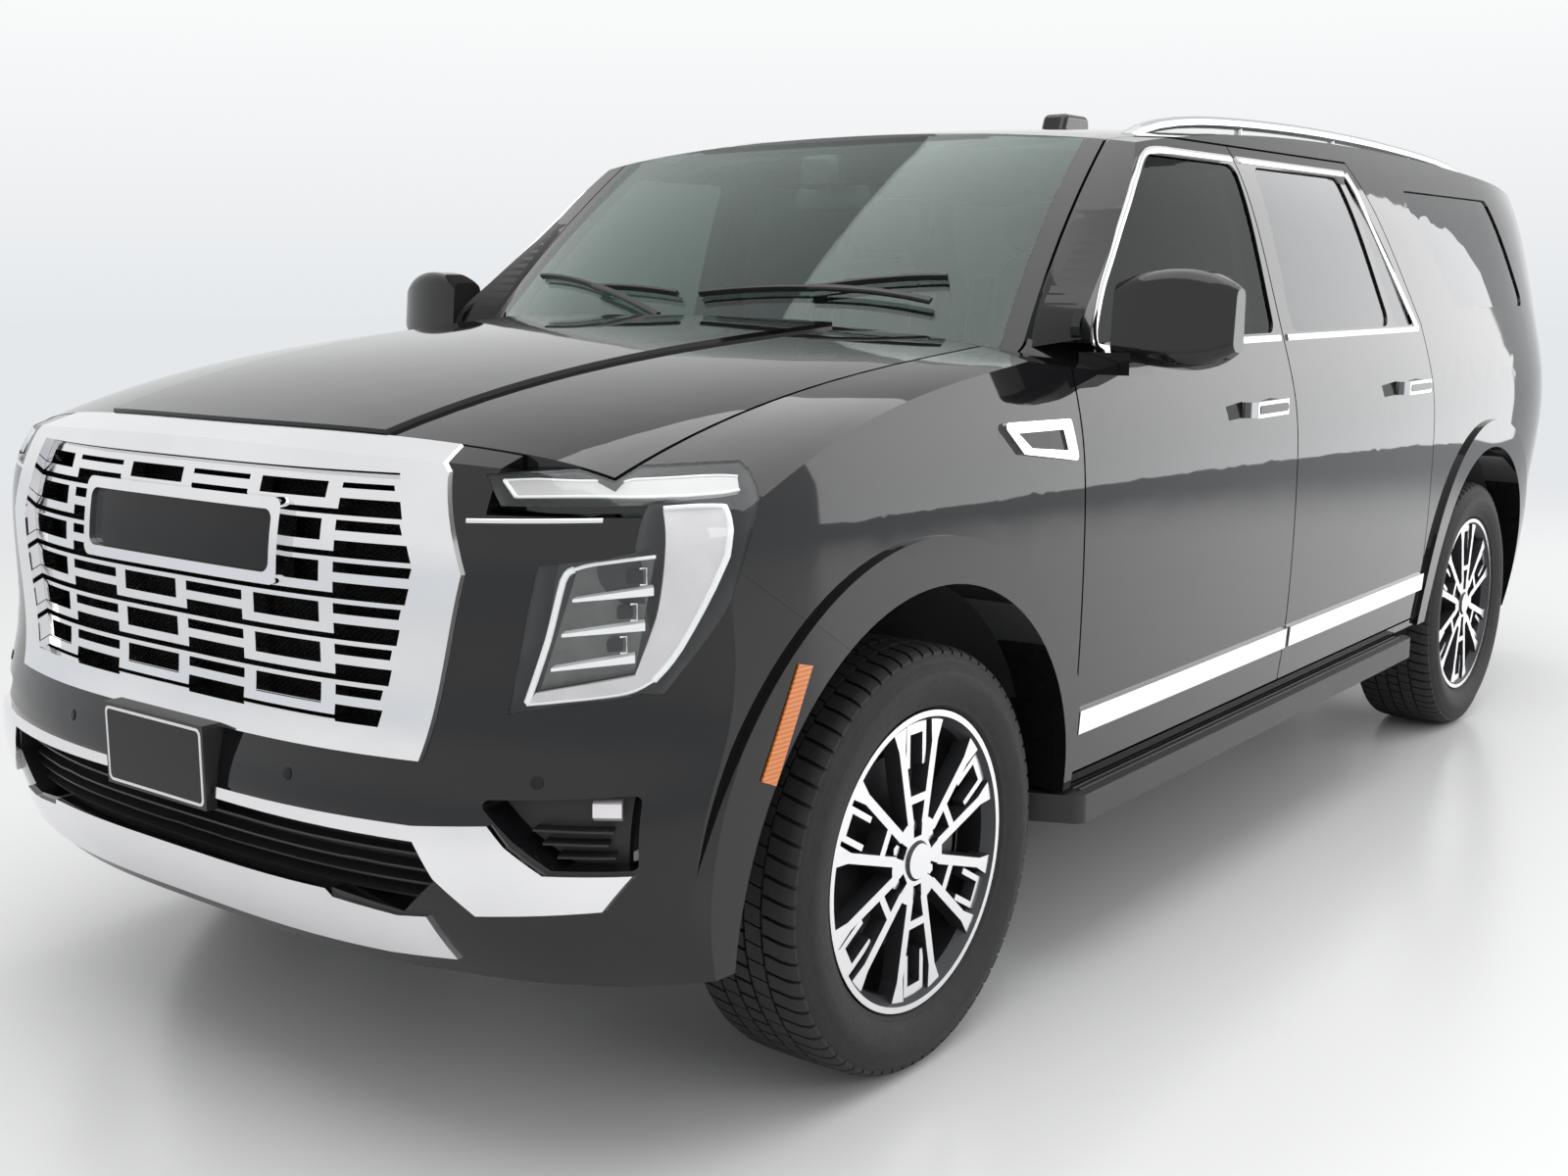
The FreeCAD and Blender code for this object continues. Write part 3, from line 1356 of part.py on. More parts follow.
# Engine, gearbox and shafts

sizes(
    engine_length=620.0,
    engine_wide=560.0,
    engine_tall=560.0,
    engine_front_back=80.0,
    gearbox_radius=112.0,
    gearbox_length=850.0,
    shaft_radius=38.0,
    shaft_height=466.0,
    differential_radius=125.0,
    half_shaft_radius=20.0,
)
engine_front = front_axle_x + d.engine_front_back + d.engine_length / 2
engine_rear = engine_front - d.engine_length

# Ladder frame

sizes(
    rail_front_back=170.0,
    rail_rear_back=190.0,
    kick_up=150.0,
)
rail_front = nose_x - d.rail_front_back
rail_rear = tail_x + d.rail_rear_back
rail_y = d.rail_centre - d.rail_wide / 2
frame_parts = []
kick_x = rear_axle_x + d.arch_radius - d.rail_wide
for side, name in ((1, "Left"), (-1, "Right")):
    low_y = rail_y if side > 0 else -rail_y - d.rail_wide
    frame_parts.append(box("Rail" + name, kick_x, rail_front, low_y, low_y + d.rail_wide,
                           d.rail_low, d.rail_low + d.rail_tall))
    frame_parts.append(box("RearRail" + name, rail_rear, kick_x + d.rail_wide, low_y, low_y + d.rail_wide,
                           d.rail_low + d.kick_up, d.rail_low + d.rail_tall + d.kick_up))
    frame_parts.append(box("RailRiser" + name, kick_x, kick_x + d.rail_wide, low_y, low_y + d.rail_wide,
                           d.rail_low, d.rail_low + d.rail_tall + d.kick_up))
for number, share in enumerate((0.0, 0.26, 0.55, 0.75, 1.0)):
    x = spread(rail_front - d.cross_wide, kick_x + d.rail_wide, share)
    frame_parts.append(box("Crossmember%d" % number, x, x + d.cross_wide, -rail_y, rail_y,
                           d.rail_low, d.rail_low + d.rail_tall * 0.25))
for number, share in enumerate((0.0, 0.5)):
    x = spread(rail_rear, kick_x, share)
    frame_parts.append(box("RearCrossmember%d" % number, x, x + d.cross_wide, -rail_y, rail_y,
                           d.rail_low + d.kick_up + d.rail_tall * 0.2, d.rail_low + d.kick_up + d.rail_tall * 0.8))
for number, share in enumerate((0.12, 0.88)):
    x = spread(engine_rear, engine_front, share)
    frame_parts.append(box("EngineMount%d" % number, x - d.cross_wide / 2, x + d.cross_wide / 2, -rail_y, rail_y,
                           d.rail_low + d.rail_tall * 0.7, d.rail_low + d.rail_tall))
beam_x = receiver_x + d.receiver_length
beam_low = d.receiver_height + d.receiver_outer - d.seat_clearance
frame_parts.append(box("HitchBeam", beam_x - d.cross_wide, beam_x, -rail_y - d.rail_wide, rail_y + d.rail_wide,
                       beam_low, d.rail_low + d.kick_up + d.rail_tall * 0.4))
doc.recompute()
frame_shape = joined([part.Shape for part in frame_parts] + [receiver]).cut(receiver_hole)
node("chassis_frame", frame_shape)

finished(box("Engine", engine_rear, engine_front, -d.engine_wide / 2, d.engine_wide / 2,
             floor_low, floor_low + d.engine_tall), "engine_block")

# Running boards

sizes(
    board_front_x=1410.0,
    board_rear_x=-860.0,
    board_top=428.0,
    board_thick=62.0,
    board_inner=880.0,
    board_outer=1046.0,
    board_taper=70.0,
    bracket_wide=70.0,
)


def running_board():
    """A step with tapered ends, carried on three brackets from the frame."""
    low = d.board_top - d.board_thick
    step = plan_prism([
        (d.board_front_x, d.board_inner), (d.board_front_x - d.board_taper, d.board_outer),
        (d.board_rear_x + d.board_taper, d.board_outer), (d.board_rear_x, d.board_inner),
    ], low, d.board_top, d.board_thick / 2)
    parts = [step]
    for share in (0.12, 0.5, 0.88):
        x = spread(d.board_front_x, d.board_rear_x, share)
        parts.append(block(x - d.bracket_wide / 2, x + d.bracket_wide / 2, d.rail_centre + d.rail_wide / 2 + d.seat_clearance,
                           d.board_inner + d.board_thick, low + d.board_thick * 0.1, low + d.board_thick * 0.6))
    return joined(parts)


board = running_board()
node("running_boards", both_sides(board))

# Roof rails

sizes(
    rail_bar_radius=15.0,
    roof_rail_front_x=560.0,
    roof_rail_rear_x=-2230.0,
    roof_rail_y=690.0,
    roof_rail_rise=32.0,
    rail_steps=24,
)


def roof_z_at(x, y):
    """Height of the outer roof surface at a point."""
    line = segment(Vector(x, y, d.belt_height + overrun), Vector(x, y, roof_z))
    inside = outer_profile.common(line)
    return inside.BoundBox.ZMax


roof_rail_shares = [0.0, 0.05, 0.25, 0.5, 0.75, 0.95, 1.0]
bar_corner_shares = [(-1.0, -0.5), (-1.0, 0.5), (-0.5, 1.0), (0.5, 1.0), (1.0, 0.5), (1.0, -0.5), (0.5, -1.0), (-0.5, -1.0)]


def roof_rail():
    """A bar that follows the roof at a height, run down into the roof at each end, on three feet."""
    y = d.roof_rail_y
    points = []
    for share in roof_rail_shares:
        x = spread(d.roof_rail_front_x, d.roof_rail_rear_x, share)
        rise = -d.rail_bar_radius if share in (0.0, 1.0) else d.roof_rail_rise
        points.append(Vector(x, y, roof_z_at(x, y) + rise))
    path = Part.BSplineCurve()
    path.buildFromPoles(points, False, 3)
    sections = []
    for number in range(int(d.rail_steps) + 1):
        middle = path.value(spread(path.FirstParameter, path.LastParameter, number / d.rail_steps))
        corners = [middle + Vector(0, side, up) * d.rail_bar_radius for side, up in bar_corner_shares]
        sections.append(Part.makePolygon(corners + corners[:1]))
    bars = [Part.makeLoft(sections, True, True)]
    for point in points[2:-2]:
        top = point - Vector(0, 0, d.rail_bar_radius * 0.4)
        bars.append(rod(top - Vector(0, 0, d.roof_rail_rise * 2), top, d.rail_bar_radius * 0.7))
    return joined(bars).cut(outer_profile)


rail = keep_largest(roof_rail())
node("roof_rails", both_sides(rail))

# Wheels

sizes(
    tyre_radius=417.0,
    tyre_width=275.0,
    rim_radius=292.0,
    rim_wide=232.0,
    bead_radius=279.0,
    tyre_shoulder=34.0,
    barrel_radius=262.0,
    hub_radius=86.0,
    disc_radius=190.0,
    disc_thick=30.0,
    disc_offset=30.0,
    spoke_thick=34.0,
    spoke_set_in=6.0,
    spoke_root=23.0,
    spoke_tip=66.0,
    spoke_wide=20.0,
    spoke_bevel=4.0,
    spoke_reach=274.0,
    flare_start=226.0,
    flare_wide=46.0,
    lip_wide=12.0,
    lip_deep=24.0,
    bridge_start=116.0,
    prong_side=27.0,
    prong_wide=12.0,
    prong_start=186.0,
    prong_end=262.0,
    nut_circle=67.0,
    nut_radius=11.0,
    nut_long=30.0,
    pocket_start=48.0,
    pocket_narrow=13.0,
    pocket_wide=19.0,
    cap_radius=40.0,
)
SPOKE_PAIRS = 6
NUT_SIDES = 6
wheel_z = d.tyre_radius


def sketch_on(body, role, corners):
    """A closed polygon on one of the body's own origin planes, each corner bound to the sheet."""
    sketch = body.newObject("Sketcher::SketchObject", body.Name + "Outline")
    plane = [f for f in body.Origin.OriginFeatures if f.Role == role][0]
    sketch.AttachmentSupport = (plane, [""])
    sketch.MapMode = "FlatFace"
    count = len(corners)
    for i in range(count):
        a = corners[i]
        b = corners[(i + 1) % count]
        sketch.addGeometry(Part.LineSegment(Vector(a[0], a[1], 0), Vector(b[0], b[1], 0)), False)
    for i in range(count):
        sketch.addConstraint(Sketcher.Constraint("Coincident", i, 2, (i + 1) % count, 1))
    for i, corner in enumerate(corners):
        for kind, value in (("DistanceX", corner[0]), ("DistanceY", corner[1])):
            if abs(value) < 1e-9:
                sketch.addConstraint(Sketcher.Constraint("PointOnObject", i, 1, -2 if kind == "DistanceX" else -1))
                continue
            sign = 1 if value > 0 else -1
            ends = (-1, 1, i, 1) if sign > 0 else (i, 1, -1, 1)
            number = sketch.addConstraint(Sketcher.Constraint(kind, *ends, abs(value)))
            bound = value if sign > 0 else -value
            sketch.setExpression("Constraints[%d]" % number, text_of(bound))
    return sketch


def revolved(name, corners):
    """A PartDesign body turned about the vehicle's Y axis, from (radius, depth) corners."""
    body = doc.addObject("PartDesign::Body", name)
    sketch = sketch_on(body, "XY_Plane", corners)
    turn = body.newObject("PartDesign::Revolution", name + "Turn")
    turn.Profile = sketch
    turn.ReferenceAxis = (sketch, ["V_Axis"])
    turn.Angle = 360.0
    body.Tip = turn
    return body


half_tyre = d.tyre_width / 2
half_rim = d.rim_wide / 2
bead_y = half_rim - d.spoke_set_in * 2 - d.seat_clearance
tyre_corners = [
    (d.bead_radius, bead_y), (d.rim_radius + d.tyre_shoulder * 0.05, bead_y),
    (d.rim_radius + d.tyre_shoulder * 0.5, half_rim + d.tyre_shoulder * 0.2),
    (d.tyre_radius * 0.83, half_tyre),
    (d.tyre_radius * 0.93, half_tyre - d.tyre_shoulder * 0.1), (d.tyre_radius - d.tyre_shoulder * 0.3, half_tyre - d.tyre_shoulder * 0.55),
    (d.tyre_radius, half_tyre - d.tyre_shoulder * 1.1),
]
tyre_corners = tyre_corners + [(r, -y) for r, y in reversed(tyre_corners)]


def placed_copy(source, name, x, y, flip=False):
    """A copy of a wheel piece, built about the origin, at one corner of the vehicle."""
    made = doc.addObject("Part::Feature", name)
    shape = source.Shape.copy()
    if flip:
        shape = shape.mirror(Vector(0, 0, 0), Vector(0, 1, 0))
    made.Shape = shape
    made.Placement = Placement(Vector(x, y, wheel_z), Rotation())
    made.Label = name
    nodes.append(made)
    return made


tyre = revolved("Tyre", tyre_corners)
barrel_corners = [
    (d.barrel_radius, half_rim - d.lip_deep), (d.rim_radius - d.lip_wide, half_rim), (d.rim_radius, half_rim),
    (d.rim_radius, half_rim - d.spoke_set_in * 2),
    (d.bead_radius - gap / 2, half_rim - d.spoke_set_in * 2), (d.bead_radius - gap / 2, d.spoke_set_in * 2 - half_rim), (d.rim_radius, d.spoke_set_in * 2 - half_rim), (d.rim_radius, -half_rim), (d.barrel_radius, -half_rim),
]
barrel = revolved("RimBarrel", barrel_corners)
doc.recompute()


def wheel_outline(corners, margin):
    """A closed wire across the wheel, from (side, outwards) corners grown by a margin."""
    points = [Vector(side, 0, out) for side, out in corners]
    wire = Part.makePolygon(points + points[:1])
    return wire.makeOffset2D(margin, 2) if margin else wire


def wheel_bar(corners, front, thick):
    """A cast bar whose sides widen from its machined face to its back."""
    face = wheel_outline(corners, 0)
    face.translate(Vector(0, front, 0))
    back = wheel_outline(corners, d.spoke_bevel)
    back.translate(Vector(0, front - thick, 0))
    return Part.makeLoft([face, back], True, True)


def spoke_pair():
    """Two bars that part and flare towards the rim, the bridge between them and a hoop in their slot."""
    front = half_rim - d.spoke_set_in
    root = d.hub_radius * 0.86
    half_bar = d.spoke_wide / 2
    half_flare = d.flare_wide / 2
    half_prong = d.prong_wide / 2
    parts = []
    for lean in (-1, 1):
        near = d.spoke_root * lean
        far = d.spoke_tip * lean
        middle = spread(near, far, (d.flare_start - root) / (d.spoke_reach - root))
        bar = [(near - half_bar, root), (near + half_bar, root), (middle + half_bar, d.flare_start),
               (far + half_flare, d.spoke_reach), (far - half_flare, d.spoke_reach), (middle - half_bar, d.flare_start)]
        parts.append(wheel_bar(bar, front, d.spoke_thick))
        leg = d.prong_side * lean
        corners = [(leg - half_prong, d.prong_start), (leg + half_prong, d.prong_start),
                   (leg + half_prong, d.spoke_reach), (leg - half_prong, d.spoke_reach)]
        parts.append(wheel_bar(corners, front - d.spoke_set_in, d.spoke_thick * 0.7))
    bridge = spread(d.spoke_root, d.spoke_tip, 0.3)
    bridge_end = d.bridge_start + d.spoke_wide * 0.8
    corners = [(-bridge, d.bridge_start), (bridge, d.bridge_start), (bridge, bridge_end), (-bridge, bridge_end)]
    parts.append(wheel_bar(corners, front, d.spoke_thick))
    corners = [(-d.prong_side, d.prong_end - d.prong_wide), (d.prong_side, d.prong_end - d.prong_wide),
               (d.prong_side, d.spoke_reach), (-d.prong_side, d.spoke_reach)]
    parts.append(wheel_bar(corners, front - d.spoke_set_in, d.spoke_thick * 0.7))
    return parts[0].fuse(parts[1:])


def ring_place(shape, turn):
    """A copy of a wheel piece turned about the axle."""
    made = shape.copy()
    made.rotate(Vector(0, 0, 0), Vector(0, 1, 0), turn)
    return made


def rim_shape():
    """Barrel, hub with its nuts and plain cap, six pairs of spokes and the brake disc behind them."""
    front = half_rim - d.spoke_set_in
    axis = Vector(0, 1, 0)
    hub_deep = d.spoke_thick * 1.3
    hub = Part.makeCylinder(d.hub_radius, hub_deep, Vector(0, front - hub_deep, 0), axis)
    sides = wheel_outline([(-d.pocket_narrow, d.pocket_start), (d.pocket_narrow, d.pocket_start),
                           (d.pocket_wide, d.bridge_start), (-d.pocket_wide, d.bridge_start)], 0)
    pocket = Part.Face(sides).extrude(Vector(0, d.nut_long, 0))
    pocket.translate(Vector(0, front - d.nut_long, 0))
    corners = []
    for turn in range(NUT_SIDES):
        angle = 2 * math.pi * turn / NUT_SIDES
        corners.append((d.nut_radius * math.sin(angle), d.nut_circle + d.nut_radius * math.cos(angle)))
    nut = Part.Face(wheel_outline(corners, 0)).extrude(Vector(0, d.nut_long, 0))
    nut.translate(Vector(0, front - d.nut_long * 1.3 - d.seat_clearance, 0))
    cap = Part.makeCone(d.cap_radius, d.cap_radius * 0.86, d.spoke_set_in, Vector(0, front - d.seat_clearance, 0), axis)
    turns = [360.0 / SPOKE_PAIRS * number for number in range(SPOKE_PAIRS)]
    hub = hub.cut([ring_place(pocket, turn) for turn in turns])
    neck = Part.makeCylinder(d.hub_radius * 0.9, front - d.spoke_thick - d.disc_offset + d.disc_thick,
                             Vector(0, d.disc_offset - d.disc_thick, 0), axis)
    disc = Part.makeCylinder(d.disc_radius, d.disc_thick, Vector(0, d.disc_offset - d.disc_thick, 0), axis)
    parts = [barrel.Shape, hub, neck, disc, cap]
    reach = Part.makeCylinder(d.spoke_reach, d.rim_wide, Vector(0, -half_rim, 0), axis)
    pair = spoke_pair().common(reach)
    for turn in turns:
        parts.append(ring_place(pair, turn))
        parts.append(ring_place(nut, turn))
    return keep_largest(joined(parts))


rim = doc.addObject("Part::Feature", "RimShape")
rim.Shape = rim_shape()
for corner, x, y in (("front_left", front_axle_x, half_track), ("front_right", front_axle_x, -half_track),
                     ("rear_left", rear_axle_x, half_track), ("rear_right", rear_axle_x, -half_track)):
    placed_copy(tyre, "tyre_" + corner, x, y, y < 0)
    placed_copy(rim, "rim_" + corner, x, y, y < 0)

# Front knuckles, suspension arms and rear axle

sizes(
    knuckle_wide=70.0,
    knuckle_deep=46.0,
    ball_height=150.0,
    ball_in=66.0,
    arm_radius=19.0,
    arm_spread=110.0,
    spindle_radius=40.0,
    axle_gap=5.0,
    caliper_wide=64.0,
)
disc_inner_y = half_track + d.disc_offset - d.disc_thick
knuckle_y = disc_inner_y - d.axle_gap
ball_y = knuckle_y - d.knuckle_deep / 2


def upright(x, side):
    """A hub carrier behind the brake disc with the short bearing that meets the disc."""
    web = block(x - d.knuckle_wide / 2, x + d.knuckle_wide / 2, (knuckle_y - d.knuckle_deep) * side, knuckle_y * side,
                wheel_z - d.ball_height, wheel_z + d.ball_height)
    bearing = rod(Vector(x, (knuckle_y - d.knuckle_deep / 2) * side, wheel_z),
                  Vector(x, (disc_inner_y - d.seat_clearance) * side, wheel_z), d.spindle_radius)
    return web.fuse(bearing)


left_knuckle = upright(front_axle_x, 1)
node("knuckle_left", left_knuckle)
node("knuckle_right", mirrored(left_knuckle))


def wishbone(x, rise, inner_z, clearance):
    """Two bars from a bush on the frame rail to a ball joint on the steering axis."""
    inner_y = d.rail_centre + d.rail_wide / 2 + d.seat_clearance
    bush = d.arm_radius * 2.4
    seat_z = wheel_z + (d.ball_height + clearance) * rise
    tip_z = seat_z + d.arm_radius * 2.2 * rise
    tip = Vector(x, ball_y, tip_z)
    joint = Part.makeCylinder(d.arm_radius, d.arm_radius * 3.2, Vector(x, ball_y, seat_z), Vector(0, 0, rise))
    parts = [joint]
    for lean in (-1, 1):
        root = Vector(x + d.arm_spread * lean, inner_y + bush / 2, inner_z)
        parts.append(rod(root, tip, d.arm_radius * 0.8))
        parts.append(block(root.x - bush / 2, root.x + bush / 2, inner_y, inner_y + bush, inner_z - bush / 2, inner_z + bush / 2))
    return joined(parts)


front_arms = [wishbone(front_axle_x, -1, d.rail_low + d.rail_tall * 0.25, d.seat_clearance),
              wishbone(front_axle_x, 1, d.rail_low + d.rail_tall * 0.75, d.seat_clearance)]
node("front_suspension", Part.makeCompound([s for arm in front_arms for s in both_sides(arm).Solids]))


def rear_axle():
    """Differential, half shafts, hub carriers and the arms that hold them."""
    diff = Part.makeCylinder(d.differential_radius, d.differential_radius * 1.6,
                             Vector(rear_axle_x, -d.differential_radius * 0.8, wheel_z), Vector(0, 1, 0))
    nose = rod(Vector(rear_axle_x, 0, d.shaft_height),
               Vector(rear_axle_x + d.differential_radius * 1.3, 0, d.shaft_height), d.shaft_radius * 1.2)
    shaft = rod(Vector(rear_axle_x, -ball_y, wheel_z), Vector(rear_axle_x, ball_y, wheel_z), d.half_shaft_radius)
    parts = [diff, nose, shaft]
    for side in (-1, 1):
        parts.append(upright(rear_axle_x, side))
    for rise, share in ((-1, 0.2), (1, 0.45)):
        arm = wishbone(rear_axle_x, rise, d.rail_low + d.kick_up + d.rail_tall * share, 0.0)
        parts += [arm, mirrored(arm)]
    return joined(parts)


node("rear_suspension", rear_axle())

gearbox_rear = engine_rear - d.gearbox_length
gearbox = long_cylinder("Gearbox", d.gearbox_radius, Size(0.0, "0"), d.shaft_height + d.gearbox_radius * 0.5, gearbox_rear, engine_rear - d.seat_clearance)
propshaft = long_cylinder("Propshaft", d.shaft_radius, Size(0.0, "0"), d.shaft_height,
                          rear_axle_x + d.differential_radius * 1.3 + d.seat_clearance, gearbox_rear + gap)
finished(fused("Driveline", [gearbox, propshaft]), "driveline")

# Exhaust

sizes(
    exhaust_y=300.0,
    exhaust_height=440.0,
    exhaust_radius=30.0,
    silencer_radius=95.0,
    silencer_length=620.0,
)
pipe = rod(Vector(tail_x + d.tail_wall * 2.7, -d.exhaust_y * 1.9, d.exhaust_height), Vector(tail_x + d.silencer_length, -d.exhaust_y * 1.9, d.exhaust_height), d.exhaust_radius)
silencer = rod(Vector(rear_axle_x - d.arch_radius, -d.exhaust_y * 1.9, d.exhaust_height),
               Vector(rear_axle_x - d.arch_radius - d.silencer_length, -d.exhaust_y * 1.9, d.exhaust_height), d.silencer_radius)
hanger_x = rear_axle_x - d.arch_radius - d.silencer_length / 2
hanger_z = d.rail_low + d.kick_up + gap
hanger_y = -d.exhaust_y * 1.9
strap = block(hanger_x - d.exhaust_radius, hanger_x + d.exhaust_radius, hanger_y, -rail_y - d.rail_wide - d.seat_clearance,
              hanger_z, hanger_z + gap * 2)
drop = block(hanger_x - d.exhaust_radius, hanger_x + d.exhaust_radius, hanger_y - gap, hanger_y + gap, d.exhaust_height, hanger_z + gap * 2)
node("exhaust", joined([pipe, silencer, strap, drop]))

# Cabin: dashboard, steering wheel and seats

sizes(
    dash_rear_x=980.0,
    dash_front_x=1262.0,
    dash_low=905.0,
    dash_top=1310.0,
    console_half=122.0,
    console_rear_x=300.0,
    console_top=925.0,
    wheel_ring_radius=190.0,
    wheel_ring_thick=16.0,
    steering_y=385.0,
    steering_x=905.0,
    steering_height=1180.0,
    column_tilt=62.0,
    column_radius=36.0,
    seat_wide=500.0,
    seat_deep=540.0,
    seat_thick=150.0,
    seat_height=780.0,
    back_tall=640.0,
    back_thick=135.0,
    seat_y=385.0,
    front_seat_x=640.0,
    second_seat_x=-330.0,
    third_seat_x=-1700.0,
    third_seat_y=250.0,
    headrest_tall=170.0,
    headrest_wide=270.0,
)
dash_half = floor_half - gap


def column_point(distance):
    """A point on the steering column, measured from the wheel's centre towards the driver."""
    tilt = math.radians(d.column_tilt)
    return Vector(d.steering_x - distance * math.sin(tilt), d.steering_y, d.steering_height + distance * math.cos(tilt))


def dashboard():
    body = side_prism([
        (d.dash_front_x, d.dash_low), (d.dash_front_x, d.dash_top), (spread(d.dash_rear_x, d.dash_front_x, 0.3), d.dash_top),
        (d.dash_rear_x, spread(d.dash_low, d.dash_top, 0.75)), (spread(d.dash_rear_x, d.dash_front_x, 0.25), d.dash_low),
    ], -dash_half, dash_half, gap * 4)
    console = block(d.console_rear_x, spread(d.dash_rear_x, d.dash_front_x, 0.5), -d.console_half, d.console_half,
                    d.tunnel_top + d.seat_clearance, d.console_top)
    column = rod(column_point(-d.wheel_ring_thick * 2 - d.seat_clearance), column_point(-d.wheel_ring_thick * 11), d.column_radius)
    return joined([body, console, column])


node("dashboard", dashboard())


def steering_wheel():
    ring = Part.makeTorus(d.wheel_ring_radius, d.wheel_ring_thick)
    parts = [ring, Part.makeCylinder(d.wheel_ring_radius * 0.3, d.wheel_ring_thick * 2.4, Vector(0, 0, -d.wheel_ring_thick * 2))]
    for angle in (0.0, 180.0, 270.0):
        spoke = block(0, d.wheel_ring_radius, -d.wheel_ring_thick, d.wheel_ring_thick, -d.wheel_ring_thick * 0.8, 0)
        spoke.rotate(Vector(0, 0, 0), Vector(0, 0, 1), angle)
        parts.append(spoke)
    return joined(parts)


wheel_made = steering_wheel()
wheel_made.rotate(Vector(0, 0, 0), Vector(0, 0, 1), -90.0)
wheel_made.rotate(Vector(0, 0, 0), Vector(0, 1, 0), -float(d.column_tilt))
wheel_made.translate(Vector(d.steering_x, d.steering_y, d.steering_height))
node("steering_wheel", wheel_made)


def seat(x, y, z, wide):
    """Cushion, backrest and headrest of one seat, facing the nose."""
    cushion = side_prism([(x, z), (x, z + d.seat_thick * 0.8), (x - d.seat_thick * 0.4, z + d.seat_thick),
                          (x - d.seat_deep, z + d.seat_thick * 0.85), (x - d.seat_deep, z)], y - wide / 2, y + wide / 2, gap * 3)
    lean = d.back_tall * 0.28
    rear = x - d.seat_deep
    back = side_prism([(rear + d.back_thick, z + d.seat_thick * 0.6), (rear + d.back_thick - lean, z + d.back_tall + d.seat_thick),
                       (rear - lean, z + d.back_tall + d.seat_thick), (rear, z)], y - wide / 2, y + wide / 2, gap * 4)
    top = z + d.back_tall + d.seat_thick
    head = side_prism([(rear + d.back_thick * 0.8 - lean, top - d.seat_thick * 0.3), (rear + d.back_thick * 0.9 - lean * 1.1, top + d.headrest_tall),
                       (rear - lean * 1.1 + d.back_thick * 0.2, top + d.headrest_tall), (rear - lean + d.back_thick * 0.2, top - d.seat_thick * 0.3)],
                      y - d.headrest_wide / 2, y + d.headrest_wide / 2, gap * 5)
    return cushion, back, head


def seat_pair(x, y, z, wide, floor_z):
    cushion, back, head = seat(x, y, z, wide)
    base = block(x - d.seat_deep + d.back_thick, x - d.seat_thick * 0.5, y - wide * 0.35, y + wide * 0.35,
                 floor_z + d.seat_clearance, z + gap)
    return both_sides(joined([cushion, back, head, base]))


front_seats = seat_pair(d.front_seat_x, d.seat_y, d.seat_height, d.seat_wide, floor_top)
second_seats = seat_pair(d.second_seat_x, d.seat_y, d.seat_height + gap * 4, d.seat_wide, floor_top)
third_seats = seat_pair(d.third_seat_x + d.seat_deep, d.third_seat_y, d.cargo_floor + d.seat_thick * 0.3,
                        d.seat_wide * 0.92, d.cargo_floor)
node("front_seats", front_seats)
node("rear_seats", Part.makeCompound(second_seats.Solids + third_seats.Solids))


# Checks and export

doc.recompute()
for made in doc.Objects:
    if "Invalid" in made.State or "Error" in made.State:
        raise RuntimeError("failed: " + made.Name)
os.makedirs("parts", exist_ok=True)
for made in nodes:
    shape = made.Shape
    if shape.isNull() or not shape.isValid() or not shape.Solids:
        raise RuntimeError("bad shape: " + made.Label)
    shape.exportStep("parts/%s.step" % made.Label)
print(len(nodes), "nodes written")
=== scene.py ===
"""Looks of a black long-wheelbase sport utility vehicle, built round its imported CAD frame.

Everything is in metres in the frame of the CAD: +X to the nose, +Y to the left side, +Z up.
"""

import json
import math

import bmesh
import bpy
from mathutils import Matrix, Vector
from mathutils.bvhtree import BVHTree

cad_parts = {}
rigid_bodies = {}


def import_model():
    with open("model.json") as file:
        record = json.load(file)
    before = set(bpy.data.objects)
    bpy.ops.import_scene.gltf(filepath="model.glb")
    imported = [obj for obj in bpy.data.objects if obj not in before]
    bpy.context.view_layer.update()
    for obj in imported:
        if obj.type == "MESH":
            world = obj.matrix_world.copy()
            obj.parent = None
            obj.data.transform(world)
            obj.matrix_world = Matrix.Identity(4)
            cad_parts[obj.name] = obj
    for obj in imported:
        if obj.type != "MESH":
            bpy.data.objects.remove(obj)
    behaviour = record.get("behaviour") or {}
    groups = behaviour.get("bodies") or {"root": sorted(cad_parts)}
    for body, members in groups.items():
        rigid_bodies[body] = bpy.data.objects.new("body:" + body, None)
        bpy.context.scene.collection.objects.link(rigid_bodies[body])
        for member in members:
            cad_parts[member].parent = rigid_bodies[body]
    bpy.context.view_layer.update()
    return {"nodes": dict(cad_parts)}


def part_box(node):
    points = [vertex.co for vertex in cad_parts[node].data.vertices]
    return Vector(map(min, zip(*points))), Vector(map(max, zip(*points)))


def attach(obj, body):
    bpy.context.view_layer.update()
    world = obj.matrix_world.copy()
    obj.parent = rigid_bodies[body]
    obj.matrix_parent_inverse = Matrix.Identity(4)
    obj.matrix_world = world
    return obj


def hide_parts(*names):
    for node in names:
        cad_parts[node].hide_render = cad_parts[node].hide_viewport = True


for leftover in list(bpy.data.objects):
    bpy.data.objects.remove(leftover)
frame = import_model()


# Ladder frame, hitch and radiator support: pressed steel box sections, welded together.
# The whole frame is dipped in satin black chassis paint that lies a little uneven.

